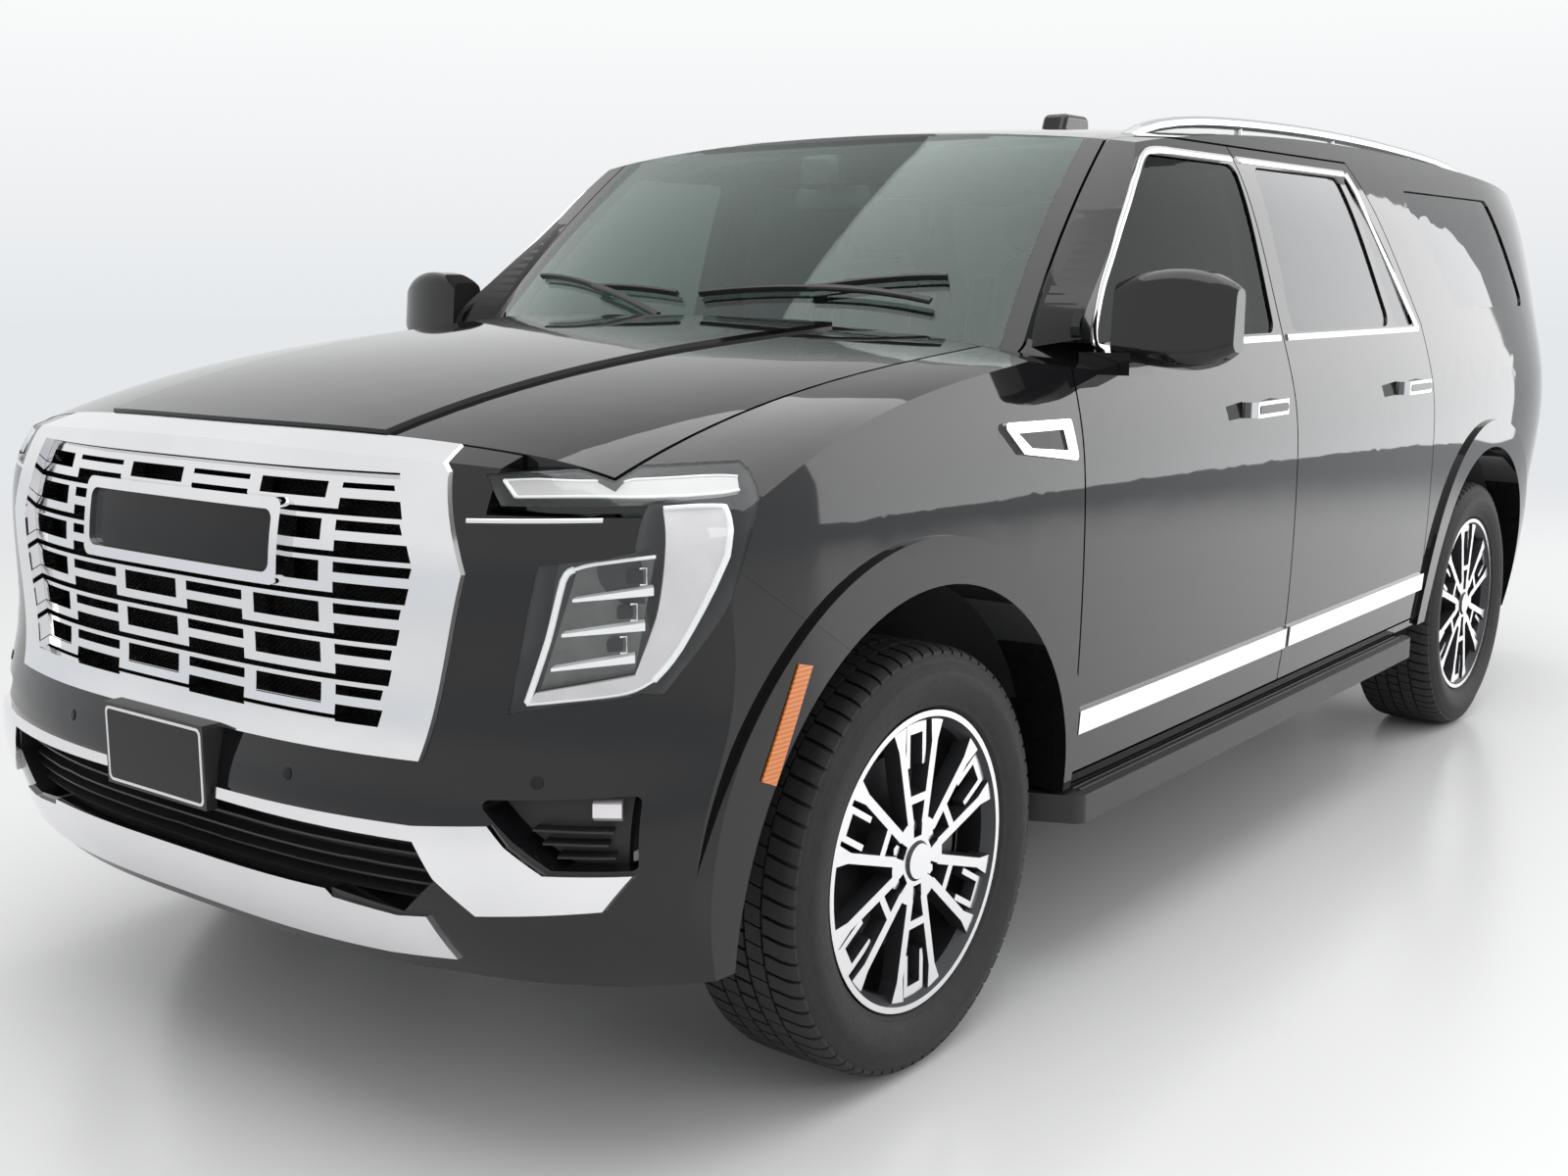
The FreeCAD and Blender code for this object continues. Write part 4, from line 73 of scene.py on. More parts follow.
class Value:
    """What a shader node gives out; arithmetic on it adds the Math node that does the sum."""

    def __init__(self, finish, output):
        self.finish = finish
        self.output = output

    def maths(self, operation, *terms):
        return self.finish.node("Math", {"operation": operation}, dict(enumerate(terms)))

    def __add__(self, other):
        return self.maths("ADD", self, other)

    def __radd__(self, other):
        return self.maths("ADD", other, self)

    def __sub__(self, other):
        return self.maths("SUBTRACT", self, other)

    def __rsub__(self, other):
        return self.maths("SUBTRACT", other, self)

    def __mul__(self, other):
        return self.maths("MULTIPLY", self, other)

    def __rmul__(self, other):
        return self.maths("MULTIPLY", other, self)

    def __pow__(self, other):
        return self.maths("POWER", self, other)

    def __gt__(self, other):
        return self.maths("GREATER_THAN", self, other)

    def __lt__(self, other):
        return self.maths("LESS_THAN", self, other)

    def __abs__(self):
        return self.maths("ABSOLUTE", self)

    def wave(self, length):
        """Rises and falls between -1 and 1 once in each length."""
        return (self * (2 * math.pi / length)).maths("SINE", self * (2 * math.pi / length))


class Finish:
    """A material: what is the same all over sits on the shader, and what varies comes from nodes."""

    def __init__(self, name, colour, roughness, **shader):
        self.material = bpy.data.materials.new(name)
        self.material.use_nodes = True
        self.tree = self.material.node_tree
        self.shader = self.tree.nodes["Principled BSDF"]
        self.set({"Base Color": (*colour, 1.0), "Roughness": roughness})
        self.set({socket.replace("_", " "): value for socket, value in shader.items()})

    def set(self, inputs, node=None):
        """Gives sockets a value, or links what a node gives out into them."""
        for socket, value in inputs.items():
            into = (node or self.shader).inputs[socket]
            if isinstance(value, Value):
                self.tree.links.new(value.output, into)
            else:
                into.default_value = value

    def node(self, kind, settings, inputs, output=0):
        """Adds a node of any kind: its settings first, then its sockets."""
        made = self.tree.nodes.new("ShaderNode" + kind)
        for setting, value in settings.items():
            setattr(made, setting, value)
        self.set(inputs, made)
        return Value(self, made.outputs[output])

    def along(self, axis, kind="Object"):
        """Where a point of the surface lies on one axis, or with kind Normal how far it faces it."""
        place = self.node("TexCoord", {}, {}, kind)
        return self.node("SeparateXYZ", {}, {"Vector": place}, axis)

    def grain(self, size, detail=3.0):
        """Cloudy noise from 0 to 1 whose patches are about this many metres across."""
        place = self.node("TexCoord", {}, {}, "Object")
        return self.node("TexNoise", {}, {"Vector": place, "Scale": 1 / size, "Detail": detail}, "Fac")

    def colour(self, share, one, other):
        """A colour on the way from one to the other."""
        stops = [end if isinstance(end, Value) else (*end, 1.0) for end in (one, other)]
        mixed = self.node("Mix", {"data_type": "RGBA"}, {0: share, 6: stops[0], 7: stops[1]}, 2)
        self.set({"Base Color": mixed})
        return mixed

    def relief(self, height, depth):
        """Bumps the surface by a height from 0 to 1, which stands for so many metres."""
        self.set({"Normal": self.node("Bump", {}, {"Height": height, "Distance": depth}, "Normal")})
        return self


def dress(finish, *names):
    """Gives CAD nodes their finish."""
    for name in names:
        mesh = frame["nodes"][name].data
        mesh.materials.clear()
        mesh.materials.append(finish.material)


chassis_paint = Finish("chassis_paint", (0.018, 0.018, 0.019), 0.45)
runs = chassis_paint.grain(0.05)
chassis_paint.colour(runs, (0.012, 0.012, 0.013), (0.035, 0.034, 0.033))
chassis_paint.set({"Roughness": 0.35 + 0.3 * runs})
chassis_paint.relief(chassis_paint.grain(0.012), 0.0006)
dress(chassis_paint, "chassis_frame", "radiator_support")

# Engine, gearbox, axles, arms and knuckles: bare castings and forgings.
# The sand-cast skin is rough and grey; it darkens where oil and road film settle.

cast_metal = Finish("cast_metal", (0.2, 0.2, 0.2), 0.5, Metallic=0.85)
film = cast_metal.grain(0.08)
cast_metal.colour(film, (0.10, 0.10, 0.10), (0.30, 0.30, 0.29))
cast_metal.set({"Roughness": 0.4 + 0.35 * film})
cast_metal.relief(cast_metal.grain(0.004), 0.0008)
dress(cast_metal, "engine_block", "driveline", "front_suspension", "rear_suspension", "knuckle_left",
      "knuckle_right", "exhaust")

# Floor, arch liners, cowl and boards: floor pressings under a sprayed coat, and black
# polypropylene mouldings with a fine leather grain, clipped or screwed to the body.

under_coat = Finish("under_coat", (0.03, 0.03, 0.03), 0.85)
under_coat.colour(under_coat.grain(0.02), (0.018, 0.018, 0.018), (0.05, 0.05, 0.048))
under_coat.relief(under_coat.grain(0.006), 0.001)
dress(under_coat, "floor_pan")

black_plastic = Finish("black_plastic", (0.014, 0.014, 0.015), 0.42)
pebble = black_plastic.grain(0.003, 2.0)
black_plastic.colour(black_plastic.grain(0.15), (0.011, 0.011, 0.012), (0.022, 0.022, 0.023))
black_plastic.set({"Roughness": 0.36 + 0.16 * pebble})
black_plastic.relief(pebble, 0.00025)
dress(black_plastic, "arch_liners", "cowl_panel", "running_boards", "lower_intake", "plate_holder")


class Stock:
    """Faces gathered for one piece, as skins drawn over rings of points."""

    def __init__(self):
        self.points = []
        self.faces = []

    def skin(self, rings, capped=True, looped=False):
        """Quads from ring to ring; looped joins the last ring to the first."""
        base = len(self.points)
        count = len(rings[0])
        for ring in rings:
            self.points += [Vector(point) for point in ring]
        rows = len(rings) if looped else len(rings) - 1
        for row in range(rows):
            here = base + row * count
            there = base + (row + 1) % len(rings) * count
            for i in range(count):
                j = (i + 1) % count
                self.faces.append((here + i, here + j, there + j, there + i))
        if capped and not looped:
            self.faces.append(tuple(range(base, base + count)))
            last = base + (len(rings) - 1) * count
            self.faces.append(tuple(range(last, last + count)))
        return self

    def bar(self, points, normals, wide, tall, sunk=0.002):
        """A strip with rounded shoulders laid along points on a surface."""
        shoulder = tall * 0.55
        section = [(-0.5, -sunk), (-0.5, shoulder), (-0.3, tall), (0.3, tall), (0.5, shoulder), (0.5, -sunk)]
        rings = []
        for i, (point, normal) in enumerate(zip(points, normals)):
            ahead = (points[min(i + 1, len(points) - 1)] - points[max(i - 1, 0)]).normalized()
            across = ahead.cross(normal).normalized()
            rings.append([point + across * (share * wide) + normal * rise for share, rise in section])
        return self.skin(rings)

    def tube(self, points, radius, sides=10):
        """A round bar along a line of points."""
        rings = []
        for i, point in enumerate(points):
            ahead = (points[min(i + 1, len(points) - 1)] - points[max(i - 1, 0)]).normalized()
            turn = ahead.to_track_quat("Z", "Y").to_matrix()
            rings.append([point + turn @ Vector((radius * math.cos(a), radius * math.sin(a), 0))
                          for a in (2 * math.pi * k / sides for k in range(sides))])
        return self.skin(rings)

    def slab(self, outline, start, end):
        """A flat outline swept from one offset to another."""
        return self.skin([[point + start for point in outline], [point + end for point in outline]])

    def mirror(self):
        """Adds the same faces on the vehicle's other side."""
        base = len(self.points)
        self.points += [Vector((p.x, -p.y, p.z)) for p in self.points]
        self.faces += [tuple(base + i for i in face) for face in self.faces]
        return self

    def make(self, name, finish, slot, body="body", place=(0, 0, 0), crease=35):
        """The gathered faces as one smooth piece that rides on a body."""
        mesh = bpy.data.meshes.new(name)
        mesh.from_pydata(self.points, [], self.faces)
        tidy = bmesh.new()
        tidy.from_mesh(mesh)
        bmesh.ops.recalc_face_normals(tidy, faces=tidy.faces)
        tidy.to_mesh(mesh)
        tidy.free()
        mesh.shade_smooth()
        mesh.set_sharp_from_angle(angle=math.radians(crease))
        mesh.materials.append(finish.material)
        piece = bpy.data.objects.new(name, mesh)
        bpy.context.scene.collection.objects.link(piece)
        piece.location = place
        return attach(piece, body)


def rounded(wide, tall, radius, steps=5):
    """Corners of a rounded rectangle about the origin, as (across, up) pairs."""
    made = []
    for turn, (side, up) in enumerate(((1, 1), (-1, 1), (-1, -1), (1, -1))):
        for k in range(steps):
            angle = math.pi / 2 * (turn + k / (steps - 1))
            made.append((side * (wide / 2 - radius) + radius * math.cos(angle),
                         up * (tall / 2 - radius) + radius * math.sin(angle)))
    return made


board_low, board_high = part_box("running_boards")
rib_count = 7
rib_wide = 0.008
rib_tall = 0.003
rib_spacing = 0.017
first_rib = 0.028
rib_ends = 0.09
treads = Stock()
for rib in range(rib_count):
    y = board_high.y - first_rib - rib * rib_spacing
    ridge = [Vector((x, y, board_high.z)) for x in (board_low.x + rib_ends, board_high.x - rib_ends)]
    treads.bar(ridge, [Vector((0, 0, 1))] * 2, rib_wide, rib_tall)
treads.mirror().make("board_treads", black_plastic, "black_plastic")

# Tyres: black rubber all-season road tyres, 22 inch, with five rows of tread blocks.
# Each is moulded in one piece, with a band of fine raised rings on both sidewalls.

rubber = Finish("tyre_rubber", (0.013, 0.013, 0.013), 0.72)
rings_out = (rubber.along("X") ** 2 + rubber.along("Z") ** 2) ** 0.5
rubber.colour(rubber.grain(0.03), (0.010, 0.010, 0.010), (0.021, 0.021, 0.021))
rubber.set({"Roughness": 0.62 + 0.2 * rubber.grain(0.01)})
ring_spacing = 0.0042
rings_from = 0.368
rings_to = 0.385
sidewall_rings = rings_out.wave(ring_spacing) * (rings_out < rings_to) * (rings_out > rings_from)
rubber.relief(sidewall_rings + 0.4 * rubber.grain(0.002), 0.0004)

tyre_low, tyre_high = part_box("tyre_front_left")
tyre_radius = (tyre_high.z - tyre_low.z) / 2
tyre_half = (tyre_high.y - tyre_low.y) / 2
# Half of the casing's section from bead to crown: radius and half width, as shares.
casing_shares = [
    (0.672, 0.752), (0.700, 0.760), (0.712, 0.830), (0.726, 0.885), (0.738, 0.890),
    (0.750, 0.915), (0.790, 0.970), (0.835, 0.995), (0.845, 1.0), (0.880, 0.992),
    (0.892, 0.972), (0.930, 0.930), (0.957, 0.875), (0.971, 0.80), (0.976, 0.60),
]
# Stations across half of the tread, in metres from the middle, with the drop below the crown.
tread_rows = [
    [(-0.016, 0.0), (0.016, 0.0)],
    [(0.0215, 0.0), (0.055, 0.0005)],
    [(0.0605, 0.0006), (0.098, 0.002), (0.112, 0.006), (0.121, 0.012)],
]
tread_depth = 0.0095
tread_pitches = 72
tread_slant = 0.30
slant_over = 0.05
row_stagger = 0.33
# How much of its pitch a block fills, in the middle row, the next ones and the shoulders.
block_shares = (0.80, 0.90, 0.80)


def round_axle(radius, y, angle):
    """A point about an axle that runs across the vehicle, with the angle from the top forwards."""
    return Vector((radius * math.sin(angle), y, radius * math.cos(angle)))


def tyre_mesh():
    """The casing as one skin round the axle, with its tread blocks standing on it."""
    made = Stock()
    half = [(tyre_radius * r, tyre_half * w) for r, w in casing_shares]
    section = half + [(r, -w) for r, w in reversed(half)]
    turns = 2 * tread_pitches
    made.skin([[round_axle(r, y, 2 * math.pi * k / turns) for r, y in section] for k in range(turns)],
              looped=True)
    step = 2 * math.pi / tread_pitches
    for row, stations in enumerate(tread_rows):
        for side in ((1,) if row == 0 else (1, -1)):
            for pitch in range(tread_pitches):
                start = step * (pitch + row_stagger * row)
                rings = []
                for y, drop in stations:
                    lean = tread_slant * step * side * y / slant_over
                    low = tyre_radius - tread_depth - drop
                    high = tyre_radius - drop
                    ends = (start + lean, start + lean + step * block_shares[row])
                    rings.append([round_axle(low, y * side, ends[0]), round_axle(low, y * side, ends[1]),
                                  round_axle(high, y * side, ends[1]), round_axle(high, y * side, ends[0])])
                made.skin(rings)
    return made


casing = tyre_mesh()
corners = [(end, side) for end in ("front", "rear") for side in ("left", "right")]
for end, side in corners:
    low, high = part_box("tyre_%s_%s" % (end, side))
    tyre = casing.make("tyre_tread_%s_%s" % (end, side), rubber, "tyre", "%s_wheel_%s" % (end, side),
                       (low + high) / 2)
    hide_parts("tyre_%s_%s" % (end, side))

# Rims and brakes: cast alloy rims, their faces turned bright on a lathe and lacquered,
# the pockets left dark grey; iron discs and a painted calliper over each.

alloy = Finish("machined_alloy", (0.62, 0.62, 0.63), 0.24, Metallic=1.0)
front_axle_x = (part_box("tyre_front_left")[0].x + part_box("tyre_front_left")[1].x) / 2
rear_axle_x = (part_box("tyre_rear_left")[0].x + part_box("tyre_rear_left")[1].x) / 2
axle_z = (tyre_low.z + tyre_high.z) / 2
wheel_y = (tyre_low.y + tyre_high.y) / 2
face_depth = 0.082
turned_groove = 0.004
hub_x = (alloy.along("X") > 0) * (front_axle_x - rear_axle_x) + rear_axle_x
out_from_hub = ((alloy.along("X") - hub_x) ** 2 + (alloy.along("Z") - axle_z) ** 2) ** 0.5
on_face = (abs(alloy.along("Y")) > wheel_y + face_depth) * (abs(alloy.along("Y", "Normal")) > 0.9)
alloy.colour(on_face, (0.055, 0.056, 0.060), (0.74, 0.74, 0.75))
alloy.set({"Roughness": 0.42 - 0.24 * on_face, "Metallic": 0.75 + 0.25 * on_face})
alloy.relief(out_from_hub.wave(turned_groove) * on_face, 0.00001)
dress(alloy, *["rim_%s_%s" % corner for corner in corners])

calliper_iron = Finish("calliper_iron", (0.09, 0.09, 0.095), 0.5, Metallic=0.6)
calliper_iron.colour(calliper_iron.grain(0.02), (0.06, 0.06, 0.065), (0.14, 0.14, 0.14))
calliper_iron.relief(calliper_iron.grain(0.004), 0.0004)
calliper_arc = (math.radians(58), math.radians(122))
calliper_steps = 8
# Radius from and to, depth along the axle from and to, of the two halves and the bridge.
calliper_parts = [(0.128, 0.212, 0.036, 0.064), (0.198, 0.216, -0.030, 0.064), (0.128, 0.212, -0.038, -0.006)]
for end, side in corners:
    sign = 1 if side == "left" else -1
    calliper = Stock()
    for inner, outer, near, far in calliper_parts:
        rings = []
        for k in range(calliper_steps + 1):
            angle = -(calliper_arc[0] + (calliper_arc[1] - calliper_arc[0]) * k / calliper_steps)
            rings.append([round_axle(r, y * sign, angle) for r, y in
                          ((inner, near), (outer, near), (outer, far), (inner, far))])
        calliper.skin(rings)
    place = (front_axle_x if end == "front" else rear_axle_x, wheel_y * sign, axle_z)
    body = "knuckle_" + side if end == "front" else "body"
    calliper.make("calliper_%s_%s" % (end, side), calliper_iron, "running_gear", body, place)

# Painted body: steel and aluminium panels in gloss black under clear lacquer.
# Inside faces carry moulded trim, and the underside of the roof a pale woven headliner.

paint = Finish("gloss_black_paint", (0.006, 0.006, 0.007), 0.16, Coat_Roughness=0.03, Coat_IOR=1.5,
               Specular_IOR_Level=0.0)
faces_in = (paint.along("Y") * paint.along("Y", "Normal")) < -0.25
headliner_above = 1.6
faces_down = (paint.along("Z", "Normal") < -0.5) * (paint.along("Z") > headliner_above)
inside = (faces_in + faces_down) > 0.5
shade = paint.colour(paint.grain(0.35), (0.0045, 0.0045, 0.0052), (0.0075, 0.0075, 0.0085))
shade = paint.colour(inside, shade, (0.022, 0.021, 0.020))
shade = paint.colour(faces_down, shade, (0.20, 0.195, 0.185))
paint.set({"Coat Weight": 1 - inside, "Roughness": 0.16 + 0.5 * inside + 0.04 * paint.grain(0.4)})
paint.relief(paint.grain(0.0035, 1.0) * inside, 0.0004)
doors = ["%s_door_%s" % corner for corner in corners]
dress(paint, "body_side_left", "body_side_right", "roof_panel", "hood", "front_fenders", "front_bumper",
      "tailgate", "rear_bumper", *doors)

gloss_plastic = Finish("gloss_black_plastic", (0.008, 0.008, 0.009), 0.12, Coat_Roughness=0.03,
                       Coat_Weight=0.3, Specular_IOR_Level=0.1)
gloss_plastic.colour(gloss_plastic.grain(0.1), (0.006, 0.006, 0.007), (0.012, 0.012, 0.013))
gloss_plastic.relief(gloss_plastic.grain(0.03, 1.0), 0.00004)
dress(gloss_plastic, "fender_vents", "grille_plaque")

# Bright trim: grille bars, their surround, the wings, door strips and window frames, all
# plastic mouldings or pressed strips plated with bright chrome. A black moulded sail fills
# the corner of each front frame, behind the mirror's foot.

chrome = Finish("bright_chrome", (0.80, 0.80, 0.81), 0.08, Metallic=1.0)
chrome.colour(chrome.grain(0.25), (0.74, 0.74, 0.75), (0.86, 0.86, 0.87))
chrome.set({"Roughness": 0.06 + 0.06 * chrome.grain(0.05)})
chrome.relief(chrome.grain(0.04, 1.0), 0.00008)
mesh_black = Finish("grille_mesh", (0.004, 0.004, 0.004), 0.6, Specular_IOR_Level=0.1)
cell_wide = 0.014
cell_tall = 0.009
cells = mesh_black.along("Y").wave(cell_wide) * mesh_black.along("Z").wave(cell_tall)
mesh_black.colour(cells > 0.1, (0.007, 0.007, 0.007), (0.002, 0.002, 0.002))
mesh_black.relief(cells, 0.002)
dress(mesh_black, "grille_backing")
dress(chrome, "front_brightwork", "grille_bars", *["%s_door_trim_%s" % corner for corner in corners])


def skin_of(*names):
    """The panels as one surface that trim can be laid on."""
    points = []
    faces = []
    for name in names:
        mesh = frame["nodes"][name].data
        faces += [[len(points) + i for i in polygon.vertices] for polygon in mesh.polygons]
        points += [vertex.co.copy() for vertex in mesh.vertices]
    return BVHTree.FromPolygons(points, faces)


def lay(skin, places, look, far=4.0):
    """Points and outward normals where lines along the look direction first meet the skin."""
    points = []
    normals = []
    for place in places:
        hit, normal = skin.ray_cast(Vector(place) - Vector(look) * far, Vector(look))[:2]
        if hit:
            points.append(hit)
            normals.append(normal if normal.dot(Vector(look)) < 0 else -normal)
    return points, normals


def run(stops, step=0.03):
    """Points along straight runs between stops, no further apart than the step."""
    made = []
    for start, end in zip(stops, stops[1:]):
        start = Vector(start)
        end = Vector(end)
        count = max(1, math.ceil((end - start).length / step))
        made += [start.lerp(end, k / count) for k in range(count)]
    return made + [Vector(stops[-1])]


def through(stops, count):
    """A smooth line of points through stops."""
    stops = [Vector(stop) for stop in stops]
    made = []
    for i in range(len(stops) - 1):
        before, start, end, after = (stops[max(0, min(len(stops) - 1, i + k))] for k in (-1, 0, 1, 2))
        for k in range(count):
            t = k / count
            bend = 2 * before - 5 * start + 4 * end - after
            twist = 3 * start - before - 3 * end + after
            made.append(0.5 * (2 * start + (end - before) * t + bend * t * t + twist * t ** 3))
    return made + [stops[-1]]


# Lines that look for the doors' skin start this far out, which is inside of the mirrors.
mirror_root = 1.0
frame_line = 0.014
frame_wide = 0.017
frame_rise = 0.005
glass_to_split = 0.059
split_gap = 0.009
top_lean = 0.056
corner_gap = 0.02
lean_bar_wide = 0.034
lean_bar_foot = 0.018
lean_bar_head = 0.016
rear_glass_lean_share = 0.302
# How far the pillar's face looks to the nose and up, against one to the side.
pillar_faces_on = 0.2
pillar_faces_up = 0.25
sail_thick = 0.003
sail_behind = 0.001
pillar_steps = 5
sail_steps = 3
# The front frame's line from the mirror's foot up the pillar, with its rows of black sail:
# each row runs from the door's front edge over the glass's edge to the frame.
pillar_line = [
    (1.160, 0.977, 1.364), (1.205, 0.976, 1.372), (1.202, 0.968, 1.400), (1.175, 0.958, 1.438),
    (1.122, 0.942, 1.497), (1.055, 0.927, 1.560), (0.985, 0.909, 1.620), (0.912, 0.891, 1.682),
    (0.840, 0.873, 1.746), (0.741, 0.846, 1.803), (0.620, 0.839, 1.814),
]
sail_front = [
    (1.262, 0.850, 1.368), (1.208, 0.834, 1.438), (1.153, 0.823, 1.500), (1.094, 0.813, 1.560),
    (1.031, 0.804, 1.620), (0.965, 0.795, 1.680),
]
sail_bend = [
    (1.257, 0.968, 1.388), (1.226, 0.958, 1.440), (1.150, 0.942, 1.500), (1.073, 0.926, 1.560),
    (0.996, 0.909, 1.620), (0.921, 0.892, 1.680),
]
sail_back = [(1.200, 0.973, 1.378)] + pillar_line[3:8]


def on_side(stops, sign):
    """The same stops on the left side, or on the right with a sign of -1."""
    return [(x, y * sign, z) for x, y, z in stops]


for side, sign in (("left", 1), ("right", -1)):
    look = (0, -sign, 0)
    low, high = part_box("front_glass_" + side)
    bottom = low.z - frame_line
    top = high.z + frame_line
    skin = skin_of("front_door_" + side, "front_glass_" + side)
    split = low.x - glass_to_split
    belt = run([(split + split_gap, 0, bottom), (pillar_line[0][0] - corner_gap, 0, bottom)])
    belt, belt_out = lay(skin, belt, look, mirror_root)
    head = run([(pillar_line[-1][0] - corner_gap, 0, top), (split + top_lean + split_gap, 0, top)])
    head, head_out = lay(skin, head, look, mirror_root)
    pillar = through(on_side(pillar_line, sign), pillar_steps)
    pillar_out = [Vector((pillar_faces_on, sign, pillar_faces_up)).normalized()] * len(pillar)
    front_frame = Stock().bar(belt + pillar + head, belt_out + pillar_out + head_out, frame_wide, frame_rise)
    front_frame.make("front_window_frame_" + side, chrome, "chrome", "front_door_" + side)
    edges = [through(on_side(edge, sign), sail_steps) for edge in (sail_front, sail_bend, sail_back)]
    rings = []
    for row in zip(*edges):
        under = [point - Vector((sail_behind, sail_thick * sign, 0)) for point in row]
        rings.append(list(row) + under[::-1])
    sail = Stock().skin(rings)
    sail.make("mirror_sail_" + side, gloss_plastic, "gloss_black", "front_door_" + side, crease=50)
    low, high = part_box("rear_glass_" + side)
    lean_top = low.x + (high.x - low.x) * rear_glass_lean_share
    skin = skin_of("rear_door_" + side)
    belt = [(split - split_gap, 0, bottom), (low.x, 0, bottom)]
    head = [(lean_top, 0, top), (split + top_lean - split_gap, 0, top)]
    rear_frame = Stock().bar(*lay(skin, run(belt), look), frame_wide, frame_rise)
    rear_frame.bar(*lay(skin, run(head), look), frame_wide, frame_rise)
    lean = [(low.x - lean_bar_foot, 0, bottom), (lean_top - lean_bar_head, 0, top)]
    rear_frame.bar(*lay(skin, run(lean), look), lean_bar_wide, frame_rise)
    rear_frame.make("rear_window_frame_" + side, chrome, "chrome", "rear_door_" + side)

# Handles and mirrors: each plated pull has a painted inlay let into its face. Each mirror has
# a silvered glass, and an amber turn lamp let into its housing's outer end.

handle_long = 0.176
handle_inlay_tall = 0.022
handle_inlay_corner = 0.009
handle_from_edge = 0.234
handle_from_top = 0.019
inlay_sunk = 0.002
inlay_proud = 0.0015
for end, side in corners:
    sign = 1 if side == "left" else -1
    low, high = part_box("%s_door_trim_%s" % (end, side))
    face_y = high.y if sign > 0 else low.y
    top_z = high.z - handle_from_top
    middle_x = low.x + handle_from_edge
    inlay = [Vector((middle_x + u, face_y, top_z + v))
             for u, v in rounded(handle_long, handle_inlay_tall, handle_inlay_corner)]
    handle = Stock().slab(inlay, Vector((0, -inlay_sunk * sign, 0)), Vector((0, inlay_proud * sign, 0)))
    handle.make("handle_inlay_%s_%s" % (end, side), gloss_plastic, "gloss_black", "%s_door_%s" % (end, side))

silver = Finish("mirror_silver", (0.86, 0.87, 0.88), 0.02, Metallic=1.0)
silver.colour(silver.grain(0.3), (0.82, 0.83, 0.84), (0.90, 0.91, 0.92))
amber = Finish("amber_lens", (0.80, 0.27, 0.02), 0.10, Coat_Weight=1.0)
amber_ribs = amber.along("Z").wave(0.008)
# Painted shade and highlight: the lens is painted darker in the troughs of its ribs and lighter on their
# crests.
amber.colour(0.5 + 0.5 * amber_ribs, (0.58, 0.13, 0.003), (0.80, 0.23, 0.008))
amber.relief(amber_ribs, 0.0006)
dress(amber, "side_markers")
mirror_glass_x = 1.0975
mirror_glass_sunk = 0.0015
mirror_glass_thick = 0.0055
mirror_middle_y = 1.137
mirror_middle_z = 1.425
mirror_glass_wide = 0.112
mirror_glass_tall = 0.15
mirror_glass_corner = 0.026
turn_lamp_line = [(1.085, 0, 1.405), (1.120, 0, 1.412)]
turn_lamp_tall = 0.022
turn_lamp_proud = 0.003
for side, sign in (("left", 1), ("right", -1)):
    glass = [Vector((mirror_glass_x, mirror_middle_y * sign + u, mirror_middle_z + v))
             for u, v in rounded(mirror_glass_wide, mirror_glass_tall, mirror_glass_corner)]
    silvered = Stock().slab(glass, Vector((-mirror_glass_sunk, 0, 0)),
                            Vector((mirror_glass_thick - mirror_glass_sunk, 0, 0)))
    silvered.make("mirror_glass_" + side, silver, "chrome", "front_door_" + side)
    turn = lay(skin_of("front_door_" + side), run(turn_lamp_line, 0.01), (0, -sign, 0))
    turn_lamp = Stock().bar(*turn, turn_lamp_tall, turn_lamp_proud)
    turn_lamp.make("mirror_turn_lamp_" + side, amber, "amber", "front_door_" + side)

# Windows: a clear laminated windshield with a green cast, front door glass tinted darker, and
# dark privacy glass behind the front doors. All are bonded in or run in rubber channels.

def glazing(name, tint, sheen, least, turn=5):
    """Glass that shows what is behind it in its tint, and mirrors more the more it is seen along."""
    finish = Finish(name, sheen, 0.01, Metallic=1.0)
    finish.colour(finish.grain(0.5), [0.94 * part for part in sheen], sheen)
    along = finish.node("LayerWeight", {}, {"Blend": 0.5}, "Facing")
    clear = finish.node("BsdfTransparent", {}, {"Color": (*tint, 1.0)}, "BSDF")
    mirror = Value(finish, finish.shader.outputs["BSDF"])
    mixed = finish.node("MixShader", {}, {0: least + along ** turn, 1: clear, 2: mirror}, "Shader")
    finish.set({"Surface": mixed}, finish.tree.nodes["Material Output"])
    return finish


clear_glass = glazing("clear_glass", (0.84, 0.92, 0.89), (0.86, 0.93, 0.91), 0.04)
dress(clear_glass, "windshield")
side_glass = glazing("side_glass", (0.25, 0.28, 0.27), (0.86, 0.91, 0.90), 0.02, 9)
dress(side_glass, "front_glass_left", "front_glass_right")
privacy_glass = glazing("privacy_glass", (0.10, 0.105, 0.11), (0.90, 0.91, 0.92), 0.05)
dress(privacy_glass, "rear_glass_left", "rear_glass_right", "quarter_glass", "tailgate_glass")

# Roof rails: a satin anodised extrusion along each side of the roof, its ends turned down
# into the panel, on three cast feet that are screwed into the roof channel.

satin_alloy = Finish("satin_alloy", (0.52, 0.53, 0.54), 0.30, Metallic=1.0)
satin_alloy.colour(satin_alloy.grain(0.2), (0.47, 0.48, 0.49), (0.57, 0.58, 0.59))
satin_alloy.relief(satin_alloy.grain(0.004), 0.00006)
dress(satin_alloy, "roof_rails")

# Headlamps: a clear polycarbonate lens over a black bucket, with a pale light bar along the
# top, a broad C-shaped guide outside and at the foot, and in their frame of bright lines
# three lit shelves before a grey reflector, each with a projector over it.

